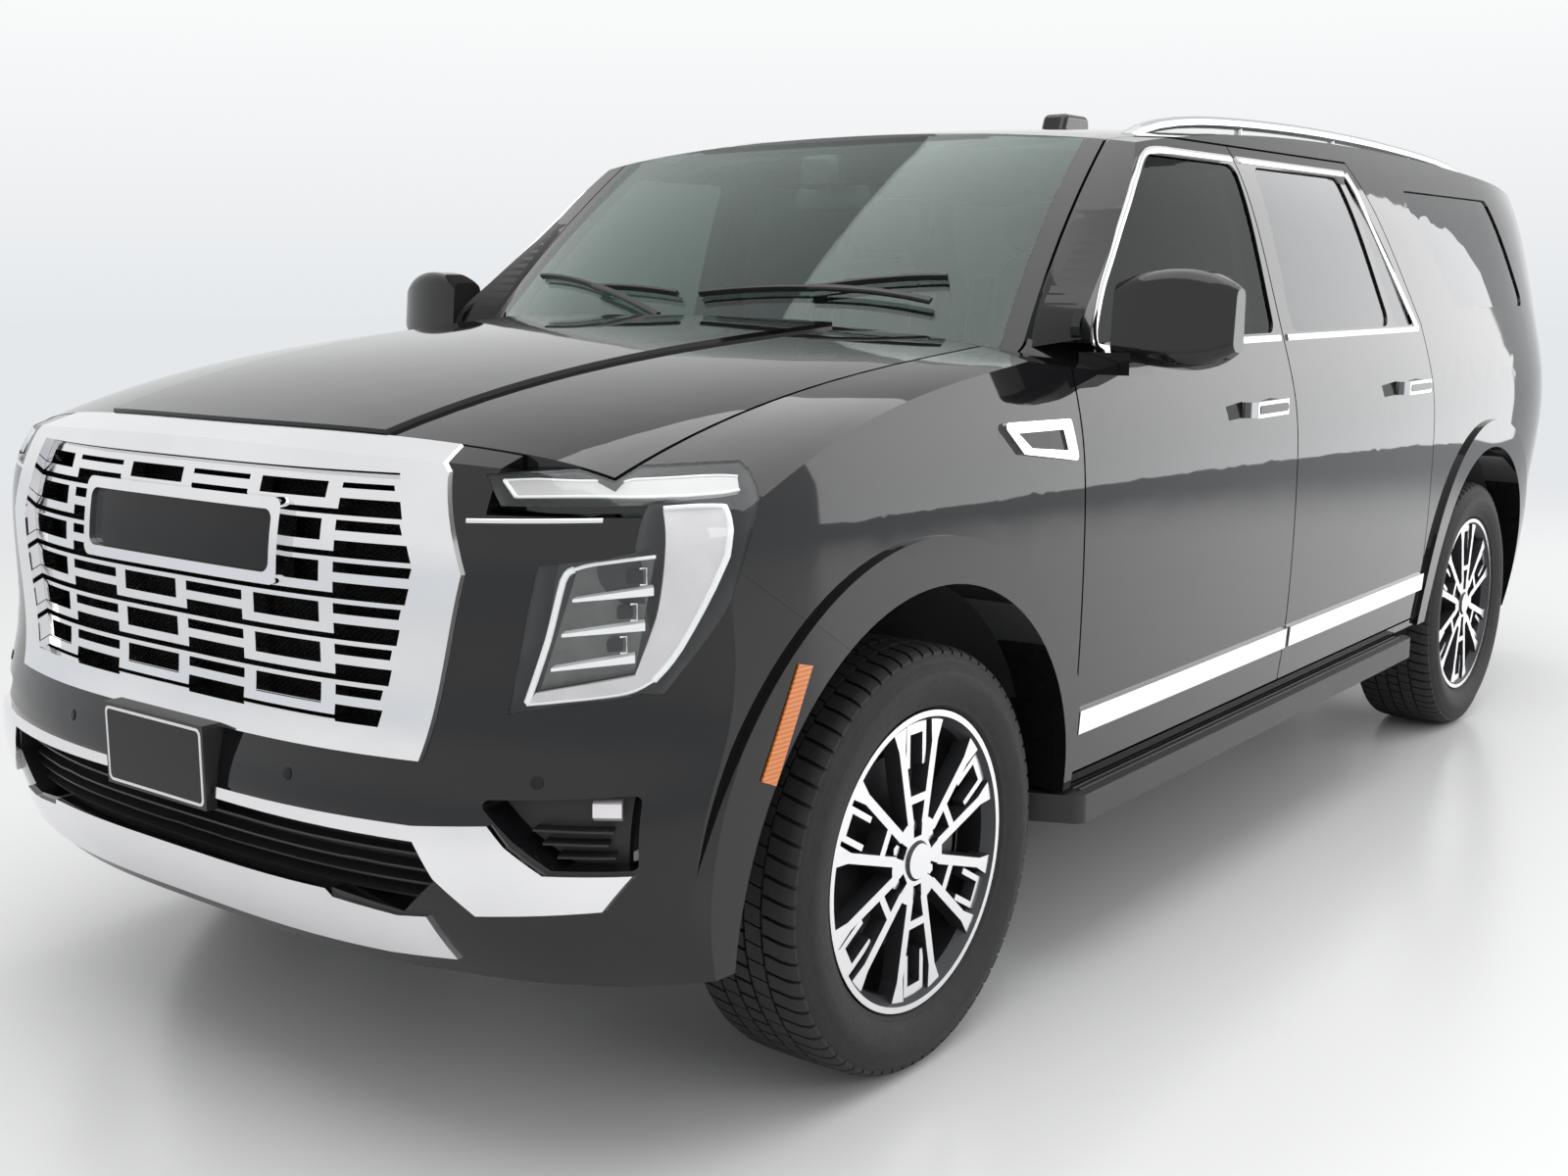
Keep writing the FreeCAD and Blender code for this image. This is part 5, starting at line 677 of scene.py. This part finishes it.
lens_thick = 0.003
lens_clear = glazing("lamp_lens", (0.97, 0.98, 0.98), (0.95, 0.96, 0.97), 0.03)
bucket_black = Finish("lamp_bucket", (0.010, 0.010, 0.011), 0.30)
bucket_black.colour(bucket_black.grain(0.05), (0.008, 0.008, 0.009), (0.02, 0.02, 0.021))
guide_white = Finish("light_guide", (0.78, 0.74, 0.76), 0.25, Coat_Weight=0.5)
guide_white.colour(guide_white.grain(0.06), (0.68, 0.64, 0.66), (0.86, 0.82, 0.84))
guide_white.relief(guide_white.grain(0.01, 1.0), 0.0003)
bar_beige = Finish("light_bar", (0.52, 0.49, 0.48), 0.3, Coat_Weight=0.5)
# Painted light: the bar's colour follows its place across the vehicle, so the left lamp's bar is painted
# lighter than the right one's, and lighter towards its outer end.
bar_beige.colour(bar_beige.along("Y"), (0.50, 0.47, 0.46), (0.60, 0.58, 0.57))
# Painted glow: a faint emission makes the headlamps' white lines, shelves and projector brackets shine of
# their own.
lit_white = Finish("lit_white", (0.88, 0.88, 0.88), 0.2, Coat_Weight=0.5, Emission_Strength=0.2)
lit_colour = lit_white.colour(lit_white.grain(0.1), (0.84, 0.84, 0.84), (0.92, 0.92, 0.92))
lit_white.set({"Emission Color": lit_colour})
reflector_grey = Finish("reflector_grey", (0.14, 0.14, 0.135), 0.35, Metallic=0.6)
reflector_grey.colour(reflector_grey.grain(0.03), (0.09, 0.09, 0.09), (0.20, 0.20, 0.19))


def split_faces(name, keep):
    """Points and faces of a CAD node whose centre and normal pass a test."""
    mesh = frame["nodes"][name].data
    used = {}
    faces = []
    for polygon in mesh.polygons:
        if keep(polygon.center, polygon.normal):
            faces.append(tuple(used.setdefault(i, len(used)) for i in polygon.vertices))
    points = [mesh.vertices[i].co.copy() for i in used]
    return points, faces


def faces_out(centre, normal):
    """Whether a face of the lamp's block looks forwards or to its own side of the vehicle."""
    return normal.x > 0.2 or normal.y * math.copysign(1, centre.y) > 0.5


def shell(name, node, thick, finish, slot):
    """A closed skin of even thickness under the outward faces of a CAD node."""
    made = Stock()
    made.points, made.faces = split_faces(node, faces_out)
    piece = made.make(name, finish, slot)
    work = bmesh.new()
    work.from_mesh(piece.data)
    bmesh.ops.remove_doubles(work, verts=work.verts, dist=1e-5)
    for face in work.faces:
        if not faces_out(face.calc_center_median(), face.normal):
            face.normal_flip()
    bmesh.ops.solidify(work, geom=work.faces[:], thickness=thick)
    work.to_mesh(piece.data)
    work.free()
    piece.data.shade_smooth()
    piece.data.set_sharp_from_angle(angle=math.radians(30))
    return piece


lens = shell("headlamp_lenses", "headlamps", lens_thick, lens_clear, "lamp")
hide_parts("headlamps")
bucket = Stock()
bucket.points, bucket.faces = split_faces("headlamps", lambda centre, normal: not faces_out(centre, normal))
bucket.make("headlamp_buckets", bucket_black, "black_plastic")
lamp_points, lamp_faces = split_faces("headlamps", faces_out)
lamp_skin = BVHTree.FromPolygons(lamp_points, lamp_faces)


def beneath(place, depth):
    """The point so far under the lens that lies nearest to a place."""
    near, normal = lamp_skin.find_nearest(Vector(place))[:2]
    return near - normal * depth * math.copysign(1, normal.x + normal.y)


def ribbon(stock, one, other, depth, thick, count=4):
    """A band between two edges, laid under the lens."""
    rings = []
    for a, b in zip(through(one, count), through(other, count)):
        places = ((a, depth), (b, depth), (b, depth + thick), (a, depth + thick))
        rings.append([beneath(place, down) for place, down in places])
    return stock.skin(rings)


# Edges of the bar, of the guide's bow and foot, and of the shelves' frame, on the lens.
bar_top = [(2.650, 0.696, 1.198), (2.591, 0.802, 1.205), (2.504, 0.879, 1.206), (2.416, 0.936, 1.207),
           (2.383, 0.958, 1.204)]
bar_low = [(2.646, 0.721, 1.170), (2.601, 0.810, 1.174), (2.531, 0.902, 1.176), (2.443, 0.959, 1.181),
           (2.400, 0.976, 1.184)]
bow_out = [(2.443, 0.980, 1.161), (2.448, 0.991, 1.121), (2.465, 0.986, 1.060), (2.516, 0.944, 0.937),
           (2.547, 0.915, 0.885)]
bow_in = [(2.522, 0.918, 1.156), (2.528, 0.927, 1.100), (2.541, 0.923, 1.003), (2.554, 0.909, 0.944),
          (2.567, 0.894, 0.893)]
foot_top = [(2.567, 0.894, 0.893), (2.612, 0.834, 0.879), (2.651, 0.762, 0.863)]
foot_low = [(2.547, 0.915, 0.885), (2.575, 0.885, 0.865), (2.620, 0.821, 0.854), (2.657, 0.749, 0.843)]
box_side = [(2.657, 0.750, 0.846), (2.640, 0.782, 0.950), (2.626, 0.804, 1.044), (2.616, 0.818, 1.062)]
box_head = [(2.616, 0.818, 1.062), (2.598, 0.846, 1.071), (2.541, 0.918, 1.082)]
guide_depth = 0.010
bar_thick = 0.010
guide_thick = 0.012
light_bar = ribbon(Stock(), bar_top, bar_low, guide_depth, bar_thick)
light_bar.mirror().make("headlamp_bars", bar_beige, "lamp")
guides = Stock()
ribbon(guides, bow_out, bow_in, guide_depth, guide_thick)
ribbon(guides, foot_low[:1] + foot_low[1::2], foot_top, guide_depth, guide_thick)
guides.mirror().make("headlamp_guides", guide_white, "lamp")
line_depth = 0.009
line_steps = 4
line_sides = 8
# Each bright line's stops, with its radius.
bright_runs = [
    (bar_top, 0.0018), (bar_low, 0.0024), ([bar_top[0], bar_low[0]], 0.0036), (bow_out, 0.0055),
    ([bow_out[0], bow_in[0]], 0.0036), (foot_low, 0.0022), (box_head, 0.0030), (box_side, 0.0055),
]
bright_lines = Stock()
for stops, radius in bright_runs:
    bright_lines.tube([beneath(stop, line_depth) for stop in through(stops, line_steps)], radius, line_sides)
bright_lines.mirror().make("headlamp_bright_lines", lit_white, "lamp")

shelf_deep = 0.036
shelf_ends = [((2.621, 0.817, 1.011), (2.546, 0.917, 1.022)), ((2.631, 0.801, 0.955), (2.556, 0.907, 0.966)),
              ((2.640, 0.785, 0.899), (2.566, 0.894, 0.914))]
shelf_thick = (0.005, 0.013)
projector = 0.026
projector_corner = 0.005
projector_share = 0.76
projector_rise = 0.031
projector_depth = 0.018
projector_long = 0.014
bracket_radius = 0.0016
bracket_proud = 0.003
bracket_shares = ((0.35, 0.50), (0.75, 0.50), (0.75, -0.50), (0.35, -0.50))
reflector_thick = 0.004
up = Vector((0, 0, 1))
shelves = Stock()
projectors = Stock()
brackets = Stock()
for left, right in shelf_ends:
    rings = []
    for stop, thick in zip((left, right), shelf_thick):
        front = beneath(stop, guide_depth)
        rear = beneath(stop, shelf_deep)
        rings.append([front, rear, rear + up * thick, front + up * thick])
    shelves.skin(rings)
    across = (Vector(right) - Vector(left)).normalized()
    middle = beneath(Vector(left).lerp(Vector(right), projector_share) + up * projector_rise, projector_depth)
    inwards = (beneath(middle, shelf_deep) - beneath(middle, 0)).normalized()
    face = [middle + across * u + up * v for u, v in rounded(projector, projector * 0.8, projector_corner)]
    projectors.slab(face, Vector((0, 0, 0)), inwards * projector_long)
    hook = [middle + across * (projector * u) + up * (projector * v) - inwards * bracket_proud
            for u, v in bracket_shares]
    brackets.tube(hook, bracket_radius, 6)
reflector_corners = (box_side[3], box_head[2], foot_top[0], foot_top[2])
reflectors = Stock().skin([[beneath(stop, shelf_deep + depth) for stop in reflector_corners]
                           for depth in (0, reflector_thick)])
shelves.mirror().make("headlamp_shelves", lit_white, "lamp")
brackets.mirror().make("headlamp_brackets", lit_white, "lamp")
projectors.mirror().make("headlamp_projectors", gloss_plastic, "gloss_black")
reflectors.mirror().make("headlamp_reflectors", reflector_grey, "lamp")
nose_skin = skin_of("front_bumper")
strip_wide = 0.007
strip_thick = 0.002
backward = (-1, 0, 0)
nose_line = lay(nose_skin, run([(0, 0.660, 1.134), (0, 0.860, 1.140)]), backward)
Stock().bar(*nose_line, strip_wide, strip_thick).mirror().make("nose_strips", chrome, "chrome")

# Nose details: a dark field with a white border on the blank plate, parking sensors,
# slats in the lower intake, and a lamp unit with three louvres in each corner pocket.

plate_low, plate_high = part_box("plate_holder")
plate_white = Finish("plate_white", (0.78, 0.78, 0.77), 0.35)
plate_white.colour(plate_white.grain(0.02), (0.72, 0.72, 0.71), (0.82, 0.82, 0.81))
plate_middle = (plate_low + plate_high) / 2
plate_wide = plate_high.y - plate_low.y
plate_tall = plate_high.z - plate_low.z
plate_front = Vector((plate_high.x, 0, 0))
# How much smaller than the plate each outline is, with its corner radius.
border_outside = (0.012, 0.012)
border_inside = (0.022, 0.008)
field_edge = (0.023, 0.008)
border_lift = Vector((0.0012, 0, 0))


def on_plate(inset, radius):
    """An outline with rounded corners on the plate's front."""
    return [Vector((0, u, plate_middle.z + v)) + plate_front
            for u, v in rounded(plate_wide - inset, plate_tall - inset, radius)]


outer_ring = on_plate(*border_outside)
inner_ring = on_plate(*border_inside)
border = Stock()
border.skin([outer_ring, [point + border_lift for point in outer_ring],
             [point + border_lift for point in inner_ring], inner_ring], capped=False)
border.make("plate_border", plate_white, "lamp")
field = Stock().slab(on_plate(*field_edge), Vector((0, 0, 0)), border_lift * 0.6)
field.make("plate_field", gloss_plastic, "gloss_black")


def disc_on(stock, skin, place, look, radius, rise):
    """A low round button on a surface."""
    points, normals = lay(skin, [place], look)
    turn = normals[0].to_track_quat("Z", "Y").to_matrix()
    rings = []
    for share, lift in ((1.0, -0.001), (1.0, rise * 0.6), (0.82, rise), (0.5, rise)):
        reach = radius * share
        rings.append([points[0] + turn @ Vector((reach * math.cos(a), reach * math.sin(a), lift))
                      for a in (2 * math.pi * k / 20 for k in range(20))])
    stock.skin(rings)


sensor_radius = 0.011
sensor_rise = 0.002
sensors = Stock()
for place in ((0, 0.790, 0.725), (0, 0.330, 0.690)):
    disc_on(sensors, nose_skin, place, backward, sensor_radius, sensor_rise)
sensors.mirror().make("parking_sensors", gloss_plastic, "gloss_black")

intake_skin = skin_of("lower_intake")
slat_heights = (0.512, 0.536, 0.560, 0.584)
slat_half = 0.60
slat_thick = 0.007
slat_deep = 0.026
# Each louvre's height, and where it starts and ends out from the middle.
pocket_louvres = ((0.603, 0.80, 0.925), (0.623, 0.78, 0.925), (0.643, 0.765, 0.925))
louvre_thick = 0.006
louvre_deep = 0.030
louvres = Stock()
for z in slat_heights:
    slat = lay(intake_skin, run([(0, -slat_half, z), (0, slat_half, z)], 0.05), backward)
    louvres.bar(*slat, slat_thick, slat_deep)
for sign in (-1, 1):
    for z, inner, outer in pocket_louvres:
        louvre = lay(intake_skin, run([(0, inner * sign, z), (0, outer * sign, z)], 0.03), backward)
        louvres.bar(*louvre, louvre_thick, louvre_deep)
louvres.make("intake_louvres", black_plastic, "black_plastic")
fog_tall = 0.036
fog_deep = 0.040
fog_line = lay(intake_skin, run([(0, 0.845, 0.677), (0, 0.915, 0.677)], 0.02), backward)
Stock().bar(*fog_line, fog_tall, fog_deep).mirror().make("fog_lamps", guide_white, "lamp")

# Wipers: two painted steel arms on spindles in the cowl, each with a long rubber blade.
# At rest the blades lie along the foot of the windshield, and follow its bow.

glass_skin = skin_of("windshield", "cowl_panel", "hood")
# Where each arm's spindle and its blade's far end lie across the vehicle.
wiper_spans = ((0.62, 0.02), (-0.05, -0.66))
rest_x = 1.402
rest_bow = 0.26
rest_half = 0.85
blade_set_back = 0.035
blade_lift = 0.006
blade_wide = 0.010
blade_tall = 0.012
arm_foot = 0.03
arm_tip = 0.030
arm_lift = 0.018
arm_wide = 0.016
arm_thick = 0.008


def lifted(points, normals, rise):
    """The same line at a height over the skin that it was laid on."""
    return [point + normal * rise for point, normal in zip(points, normals)]


down = (0, 0, -1)
wipers = Stock()
for spindle, tip in wiper_spans:
    sweep = [(rest_x - rest_bow * (y / rest_half) ** 2, y) for y in (spindle, (spindle + tip) / 2, tip)]
    points, normals = lay(glass_skin, run([(x - blade_set_back, y, 0) for x, y in sweep], 0.05), down)
    wipers.bar(lifted(points, normals, blade_lift), normals, blade_wide, blade_tall)
    arm = [(sweep[0][0] + arm_foot, spindle, 0), (sweep[1][0] - arm_tip, sweep[1][1], 0)]
    points, normals = lay(glass_skin, run(arm, 0.05), down)
    wipers.bar(lifted(points, normals, arm_lift), normals, arm_wide, arm_thick)
wipers.make("wipers", black_plastic, "black_plastic")

# Tail: ribbed red lenses, a high stop lamp over the rear glass, a wiper, a grab handle
# and a blank plate on the liftgate, as such vehicles carry them.

red_lens = Finish("red_lens", (0.30, 0.006, 0.008), 0.08, Coat_Weight=1.0)
lens_ribs = red_lens.along("Z").wave(0.05)
red_lens.colour(0.5 + 0.5 * lens_ribs, (0.16, 0.003, 0.004), (0.42, 0.010, 0.012))
red_lens.relief(red_lens.along("Z").wave(0.006), 0.0003)
dress(red_lens, "tail_lamps")
tail_skin = skin_of("tailgate", "tailgate_glass")
forward = (1, 0, 0)
stop_lamp_z = 1.795
stop_lamp_half = 0.20
stop_lamp_tall = 0.020
stop_lamp_proud = 0.006
grab_z = 1.165
grab_half = 0.30
grab_tall = 0.030
grab_proud = 0.012
wiper_z = 1.40
wiper_long = 0.40
wiper_lean = 0.03
wiper_lift = 0.008
wiper_wide = 0.014
wiper_thick = 0.010
wiper_boss = 0.022
rear_plate_z = 1.03
plate_corner = 0.012
lamp_line = run([(0, -stop_lamp_half, stop_lamp_z), (0, stop_lamp_half, stop_lamp_z)], 0.04)
stop_lamp = Stock().bar(*lay(tail_skin, lamp_line, forward), stop_lamp_tall, stop_lamp_proud)
stop_lamp.make("high_stop_lamp", red_lens, "tail_lamp", "tailgate")
grab_line = run([(0, -grab_half, grab_z), (0, grab_half, grab_z)], 0.05)
grab = Stock().bar(*lay(tail_skin, grab_line, forward), grab_tall, grab_proud)
grab.make("liftgate_handle", chrome, "chrome", "tailgate")
rear_wiper = Stock()
rear_arm = run([(0, 0.0, wiper_z), (0, wiper_long, wiper_z + wiper_lean)], 0.04)
points, normals = lay(tail_skin, rear_arm, forward)
rear_wiper.bar(lifted(points, normals, wiper_lift), normals, wiper_wide, wiper_thick)
disc_on(rear_wiper, tail_skin, (0, 0.0, wiper_z), forward, wiper_boss, wiper_boss)
rear_wiper.make("rear_wiper", black_plastic, "black_plastic", "tailgate")
plate_outline = [Vector((0, u, rear_plate_z + v)) for u, v in rounded(plate_wide, plate_tall, plate_corner)]
points, normals = lay(tail_skin, plate_outline, forward)
rear_plate = Stock().skin([lifted(points, normals, 0.001), lifted(points, normals, 0.004)])
rear_plate.make("rear_plate", plate_white, "lamp", "tailgate")

# Seats: foam cushions under dark hide with sewn bolsters, on a pressed base.
# Each cushion is crowned, its sides pulled in, with two sewn channels down its middle.

hide = Finish("dark_hide", (0.018, 0.017, 0.016), 0.48, Sheen_Weight=0.15)
pores_to_metre = 420.0
pore_deep = 0.15
wrinkle = hide.node("TexVoronoi", {"feature": "DISTANCE_TO_EDGE"},
                    {"Vector": hide.node("TexCoord", {}, {}, "Object"), "Scale": pores_to_metre}, "Distance")
hide.colour(hide.grain(0.12), (0.012, 0.0115, 0.011), (0.028, 0.026, 0.024))
hide.set({"Roughness": 0.42 + 0.15 * hide.grain(0.03)})
hide.relief(wrinkle.maths("MINIMUM", wrinkle, pore_deep) + 0.3 * hide.grain(0.02), 0.0008)
soft_square = 0.38
pad_rows = 16
pad_columns = 40
crown_share = 0.10
channel_depth = 0.006
channel_share = 0.05
sewn_shares = (-0.45, 0.45)


def eased(value):
    """Pushes a sine or cosine towards its ends, which squares a pad's round outline."""
    return math.copysign(abs(value) ** soft_square, value)


def pad(stock, place, half, channels=()):
    """A crowned cushion: thick half.z along the matrix's Z, with grooves at shares of its width."""
    rings = []
    for row in range(1, pad_rows):
        up = -math.pi / 2 + math.pi * row / pad_rows
        ring = []
        for column in range(pad_columns):
            around = 2 * math.pi * column / pad_columns
            x = half.x * eased(math.cos(up)) * eased(math.cos(around))
            y = half.y * eased(math.cos(up)) * eased(math.sin(around))
            z = half.z * eased(math.sin(up))
            crown = 1.0 + crown_share * (1 - (x / half.x) ** 2) * (1 - (y / half.y) ** 2)
            groove = sum(channel_depth * math.exp(-((y / half.y - share) / channel_share) ** 2)
                         for share in channels)
            ring.append(place @ Vector((x, y, z * crown - (groove if z > 0 else 0))))
        rings.append(ring)
    return stock.skin(rings)


def moved(x, y, z):
    """A shift by so much along each axis."""
    return Matrix.Translation(Vector((x, y, z)))


def tipped(degrees):
    """A turn about the axis that runs across the vehicle."""
    return Matrix.Rotation(math.radians(degrees), 4, "Y")


seat_deep = 0.54
cushion_tip = -2.5
cushion_rise = 0.078
back_lean = -12.8
back_foot_in = 0.066
back_foot_rise = 0.05
back_middle = 0.385
# Half the length, width and thickness of each pad; the width is a share of the seat's own.
cushion_half = (seat_deep / 2, 0.33, 0.062)
cushion_bolster_half = (seat_deep * 0.49, 0.085, 0.074)
back_half = (0.375, 0.32, 0.056)
back_bolster_half = (0.33, 0.095, 0.062)
headrest_half = (0.085, 0.135, 0.050)
# How far out the bolsters stand, as shares of the width.
cushion_bolster_share = 0.41
back_bolster_share = 0.39


def seat(stock, front_x, y, low_z, wide):
    """Cushion, backrest and headrest of one seat, in the space of its CAD solid."""
    level = moved(front_x - seat_deep / 2, y, low_z + cushion_rise) @ tipped(cushion_tip)
    upright = moved(front_x - seat_deep + back_foot_in, y, low_z + back_foot_rise) @ tipped(back_lean)
    upright = upright @ moved(0, 0, back_middle)
    facing = upright @ tipped(90)
    headrest = upright @ moved(0.012, 0, 0.475) @ tipped(90)

    def sized(half):
        return Vector((half[0], wide * half[1], half[2]))

    pad(stock, level, sized(cushion_half), sewn_shares)
    pad(stock, facing, sized(back_half), sewn_shares)
    for side in (-1, 1):
        bolster = level @ moved(0, wide * cushion_bolster_share * side, 0.008)
        pad(stock, bolster, sized(cushion_bolster_half))
        bolster = facing @ moved(0.03, wide * back_bolster_share * side, 0.010)
        pad(stock, bolster, sized(back_bolster_half))
    pad(stock, headrest, Vector(headrest_half))
    return stock


row_y = 0.385
row_wide = 0.50
front_row_x = 0.640
front_row_z = 0.780
second_row_x = -0.330
second_row_z = 0.804
third_row_x = -1.160
third_row_y = 0.250
third_row_z = 0.845
third_row_wide = 0.46
front_row = Stock()
for side in (-1, 1):
    seat(front_row, front_row_x, row_y * side, front_row_z, row_wide)
cushions = front_row.make("front_seat_pads", hide, "seat", crease=60)
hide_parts("front_seats")
rear_rows = Stock()
for side in (-1, 1):
    seat(rear_rows, second_row_x, row_y * side, second_row_z, row_wide)
    seat(rear_rows, third_row_x, third_row_y * side, third_row_z, third_row_wide)
cushions = rear_rows.make("rear_seat_pads", hide, "seat", crease=60)
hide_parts("rear_seats")
# Each row's base: its middle along and out from the middle, its foot and its top.
base_places = ((0.40, row_y, 0.554, 0.800), (-0.57, row_y, 0.554, 0.825), (-1.40, third_row_y, 0.8005, 0.860))
base_outline = rounded(0.33, 0.35, 0.04)
base_flare_x = 1.05
base_flare_y = 1.08
bases = Stock()
for x, y, low_z, high_z in base_places:
    for side in (-1, 1):
        foot = [Vector((x + u, y * side + v, low_z)) for u, v in base_outline]
        top = [Vector((x + u * base_flare_x, y * side + v * base_flare_y, high_z)) for u, v in base_outline]
        bases.skin([foot, top])
bases.make("seat_bases", black_plastic, "trim")

# Cabin front: a moulded dashboard with a soft skin, a wheel rim wrapped in hide, a glass
# display, and the mirror and camera pod bonded inside the windshield.

soft_trim = Finish("soft_trim", (0.020, 0.019, 0.018), 0.6)
soft_trim.colour(soft_trim.grain(0.1), (0.015, 0.0145, 0.014), (0.030, 0.028, 0.026))
soft_trim.relief(soft_trim.grain(0.002, 2.0), 0.0003)
dress(soft_trim, "dashboard")
dress(hide, "steering_wheel")
screen_x = 1.000
screen_lean = 0.25
screen_corner = 0.014
# Each screen's middle across and up, with its width and height.
screens = ((-0.02, 1.262, 0.30, 0.185), (0.385, 1.275, 0.30, 0.125))
display = Stock()
for y, z, across, tall in screens:
    outline = [Vector((screen_x + (v + tall / 2) * screen_lean, y + u, z + v))
               for u, v in rounded(across, tall, screen_corner)]
    display.slab(outline, Vector((0.030, 0, 0)), Vector((-0.004, 0, 0.001)))
display.make("dash_displays", gloss_plastic, "gloss_black")
vent_middles = (-0.66, -0.27, 0.66)
vent_wide = 0.17
vent_foot = 1.165
vent_set_back = 0.022
fin_count = 5
fin_spacing = 0.016
fin_tall = 0.006
fin_long = 0.03
vents = Stock()
for y in vent_middles:
    for fin in range(fin_count):
        outline = [Vector((screen_x - vent_set_back, y + u, vent_foot + fin_spacing * fin + v))
                   for u, v in rounded(vent_wide, fin_tall, 0.0028, 3)]
        vents.slab(outline, Vector((0, 0, 0)), Vector((fin_long, 0, 0)))
vents.make("dash_vents", satin_alloy, "satin_rail")
pod_x = 0.862
pod_corner = 0.024
# The camera pod and the mirror below it: middle along and up, width, height and depth.
pods = ((pod_x, 1.782, 0.12, 0.085, 0.055), (pod_x - 0.055, 1.716, 0.245, 0.066, 0.032))
pod_shares = ((0.0, 0.90), (0.15, 1.0), (0.7, 1.0), (1.0, 0.72))
mirror_pod = Stock()
for x, z, across, tall, deep in pods:
    outline = rounded(across, tall, pod_corner)
    mirror_pod.skin([[Vector((x - deep / 2 + deep * share, u * scale, z + v * scale)) for u, v in outline]
                     for share, scale in pod_shares])
mirror_pod.make("inner_mirror", black_plastic, "trim")

# Studio: a pale floor that keeps the shadow and fades into the backdrop, a pale world that
# grows whiter upwards, and three soft boxes: overhead, at the left, and at the left rear.

backdrop_low = (0.78, 0.805, 0.83)
backdrop_high = (0.95, 0.955, 0.96)
floor_half = 60.0
floor_mesh = bpy.data.meshes.new("studio_floor")
floor_corners = [(x * floor_half, y * floor_half, 0) for x, y in ((-1, -1), (1, -1), (1, 1), (-1, 1))]
floor_mesh.from_pydata(floor_corners, [], [(0, 1, 2, 3)])
floor = bpy.data.objects.new("studio_floor", floor_mesh)
bpy.context.scene.collection.objects.link(floor)
floor_paint = Finish("studio_floor", (0.78, 0.78, 0.785), 0.25)
fade_start = 5.5
fade_end = 11.0
from_middle = (floor_paint.along("X") ** 2 + floor_paint.along("Y") ** 2) ** 0.5
away = floor_paint.node("MapRange", {"interpolation_type": "SMOOTHSTEP"},
                        {"Value": from_middle, "From Min": fade_start, "From Max": fade_end}, "Result")


def seen_directly(finish):
    """1 for what the camera sees, also in a mirror or through glass, and 0 for light on its way."""
    kinds = ("Is Camera Ray", "Is Glossy Ray", "Is Transmission Ray")
    rays = [finish.node("LightPath", {}, {}, kind) for kind in kinds]
    return rays[0].maths("MAXIMUM", rays[0].maths("MAXIMUM", rays[0], rays[1]), rays[2])


backdrop = floor_paint.node("Emission", {}, {"Color": (*backdrop_low, 1.0), "Strength": 1.0}, "Emission")
floor_shader = Value(floor_paint, floor_paint.shader.outputs["BSDF"])
faded = away * seen_directly(floor_paint)
mixed = floor_paint.node("MixShader", {}, {0: faded, 1: floor_shader, 2: backdrop}, "Shader")
floor_paint.set({"Surface": mixed}, floor_paint.tree.nodes["Material Output"])
floor_mesh.materials.append(floor_paint.material)


class Sky(Finish):
    """The world, with the nodes of a finish."""

    def __init__(self, name):
        self.world = bpy.data.worlds.new(name)
        self.world.use_nodes = True
        self.tree = self.world.node_tree
        self.shader = self.tree.nodes["Background"]


ambient = 0.8
sky = Sky("studio_world")
bpy.context.scene.world = sky.world
whitens_from = -0.03
whitens_to = 0.14
height = sky.node("MapRange", {}, {"Value": sky.along("Z", "Generated"), "From Min": whitens_from,
                                   "From Max": whitens_to}, "Result")
sky_colour = sky.node("Mix", {"data_type": "RGBA"},
                      {0: height, 6: (*backdrop_low, 1.0), 7: (*backdrop_high, 1.0)}, 2)
sky.set({"Color": sky_colour, "Strength": ambient + (1 - ambient) * seen_directly(sky)})


def soft_box(name, place, aim, wide, tall, glow):
    """A rectangular lamp of even glow, which the camera doesn't see."""
    lamp = bpy.data.lights.new(name, "AREA")
    lamp.shape = "RECTANGLE"
    lamp.size = wide
    lamp.size_y = tall
    lamp.energy = glow * math.pi * wide * tall
    made = bpy.data.objects.new(name, lamp)
    bpy.context.scene.collection.objects.link(made)
    made.location = place
    if aim:
        made.rotation_euler = (Vector(aim) - Vector(place)).to_track_quat("-Z", "Y").to_euler()
    made.visible_camera = False


soft_box("overhead_box", place=(1.4, 0.6, 6.0), aim=None, wide=9.0, tall=6.0, glow=1.7)
soft_box("left_box", place=(2.2, 7.5, 3.8), aim=(1.0, 0, 0.9), wide=5.0, tall=1.8, glow=2.4)
soft_box("left_rear_box", place=(-8.0, 5.6, 2.9), aim=(0, 1.0, 0.9), wide=6.5, tall=5.4, glow=2.2)

# Camera at the photograph's place, a little above the hood off the left front corner. Its
# 40 mm lens looks ten degrees down, across the nose to the far rear corner.

camera_place = (4.5468, 2.7193, 1.5061)
camera_heading = math.radians(-142.35)
camera_pitch = math.radians(-10.0)
camera_lens = 39.9
camera_data = bpy.data.cameras.new("photo_camera")
camera_data.lens = camera_lens
camera_data.sensor_width = 36.0
camera = bpy.data.objects.new("photo_camera", camera_data)
bpy.context.scene.collection.objects.link(camera)
camera.location = camera_place
level = math.cos(camera_pitch)
ahead = Vector((math.cos(camera_heading) * level, math.sin(camera_heading) * level, math.sin(camera_pitch)))
camera.rotation_euler = ahead.to_track_quat("-Z", "Y").to_euler()
bpy.context.scene.camera = camera
bpy.context.scene.view_settings.view_transform = "Standard"
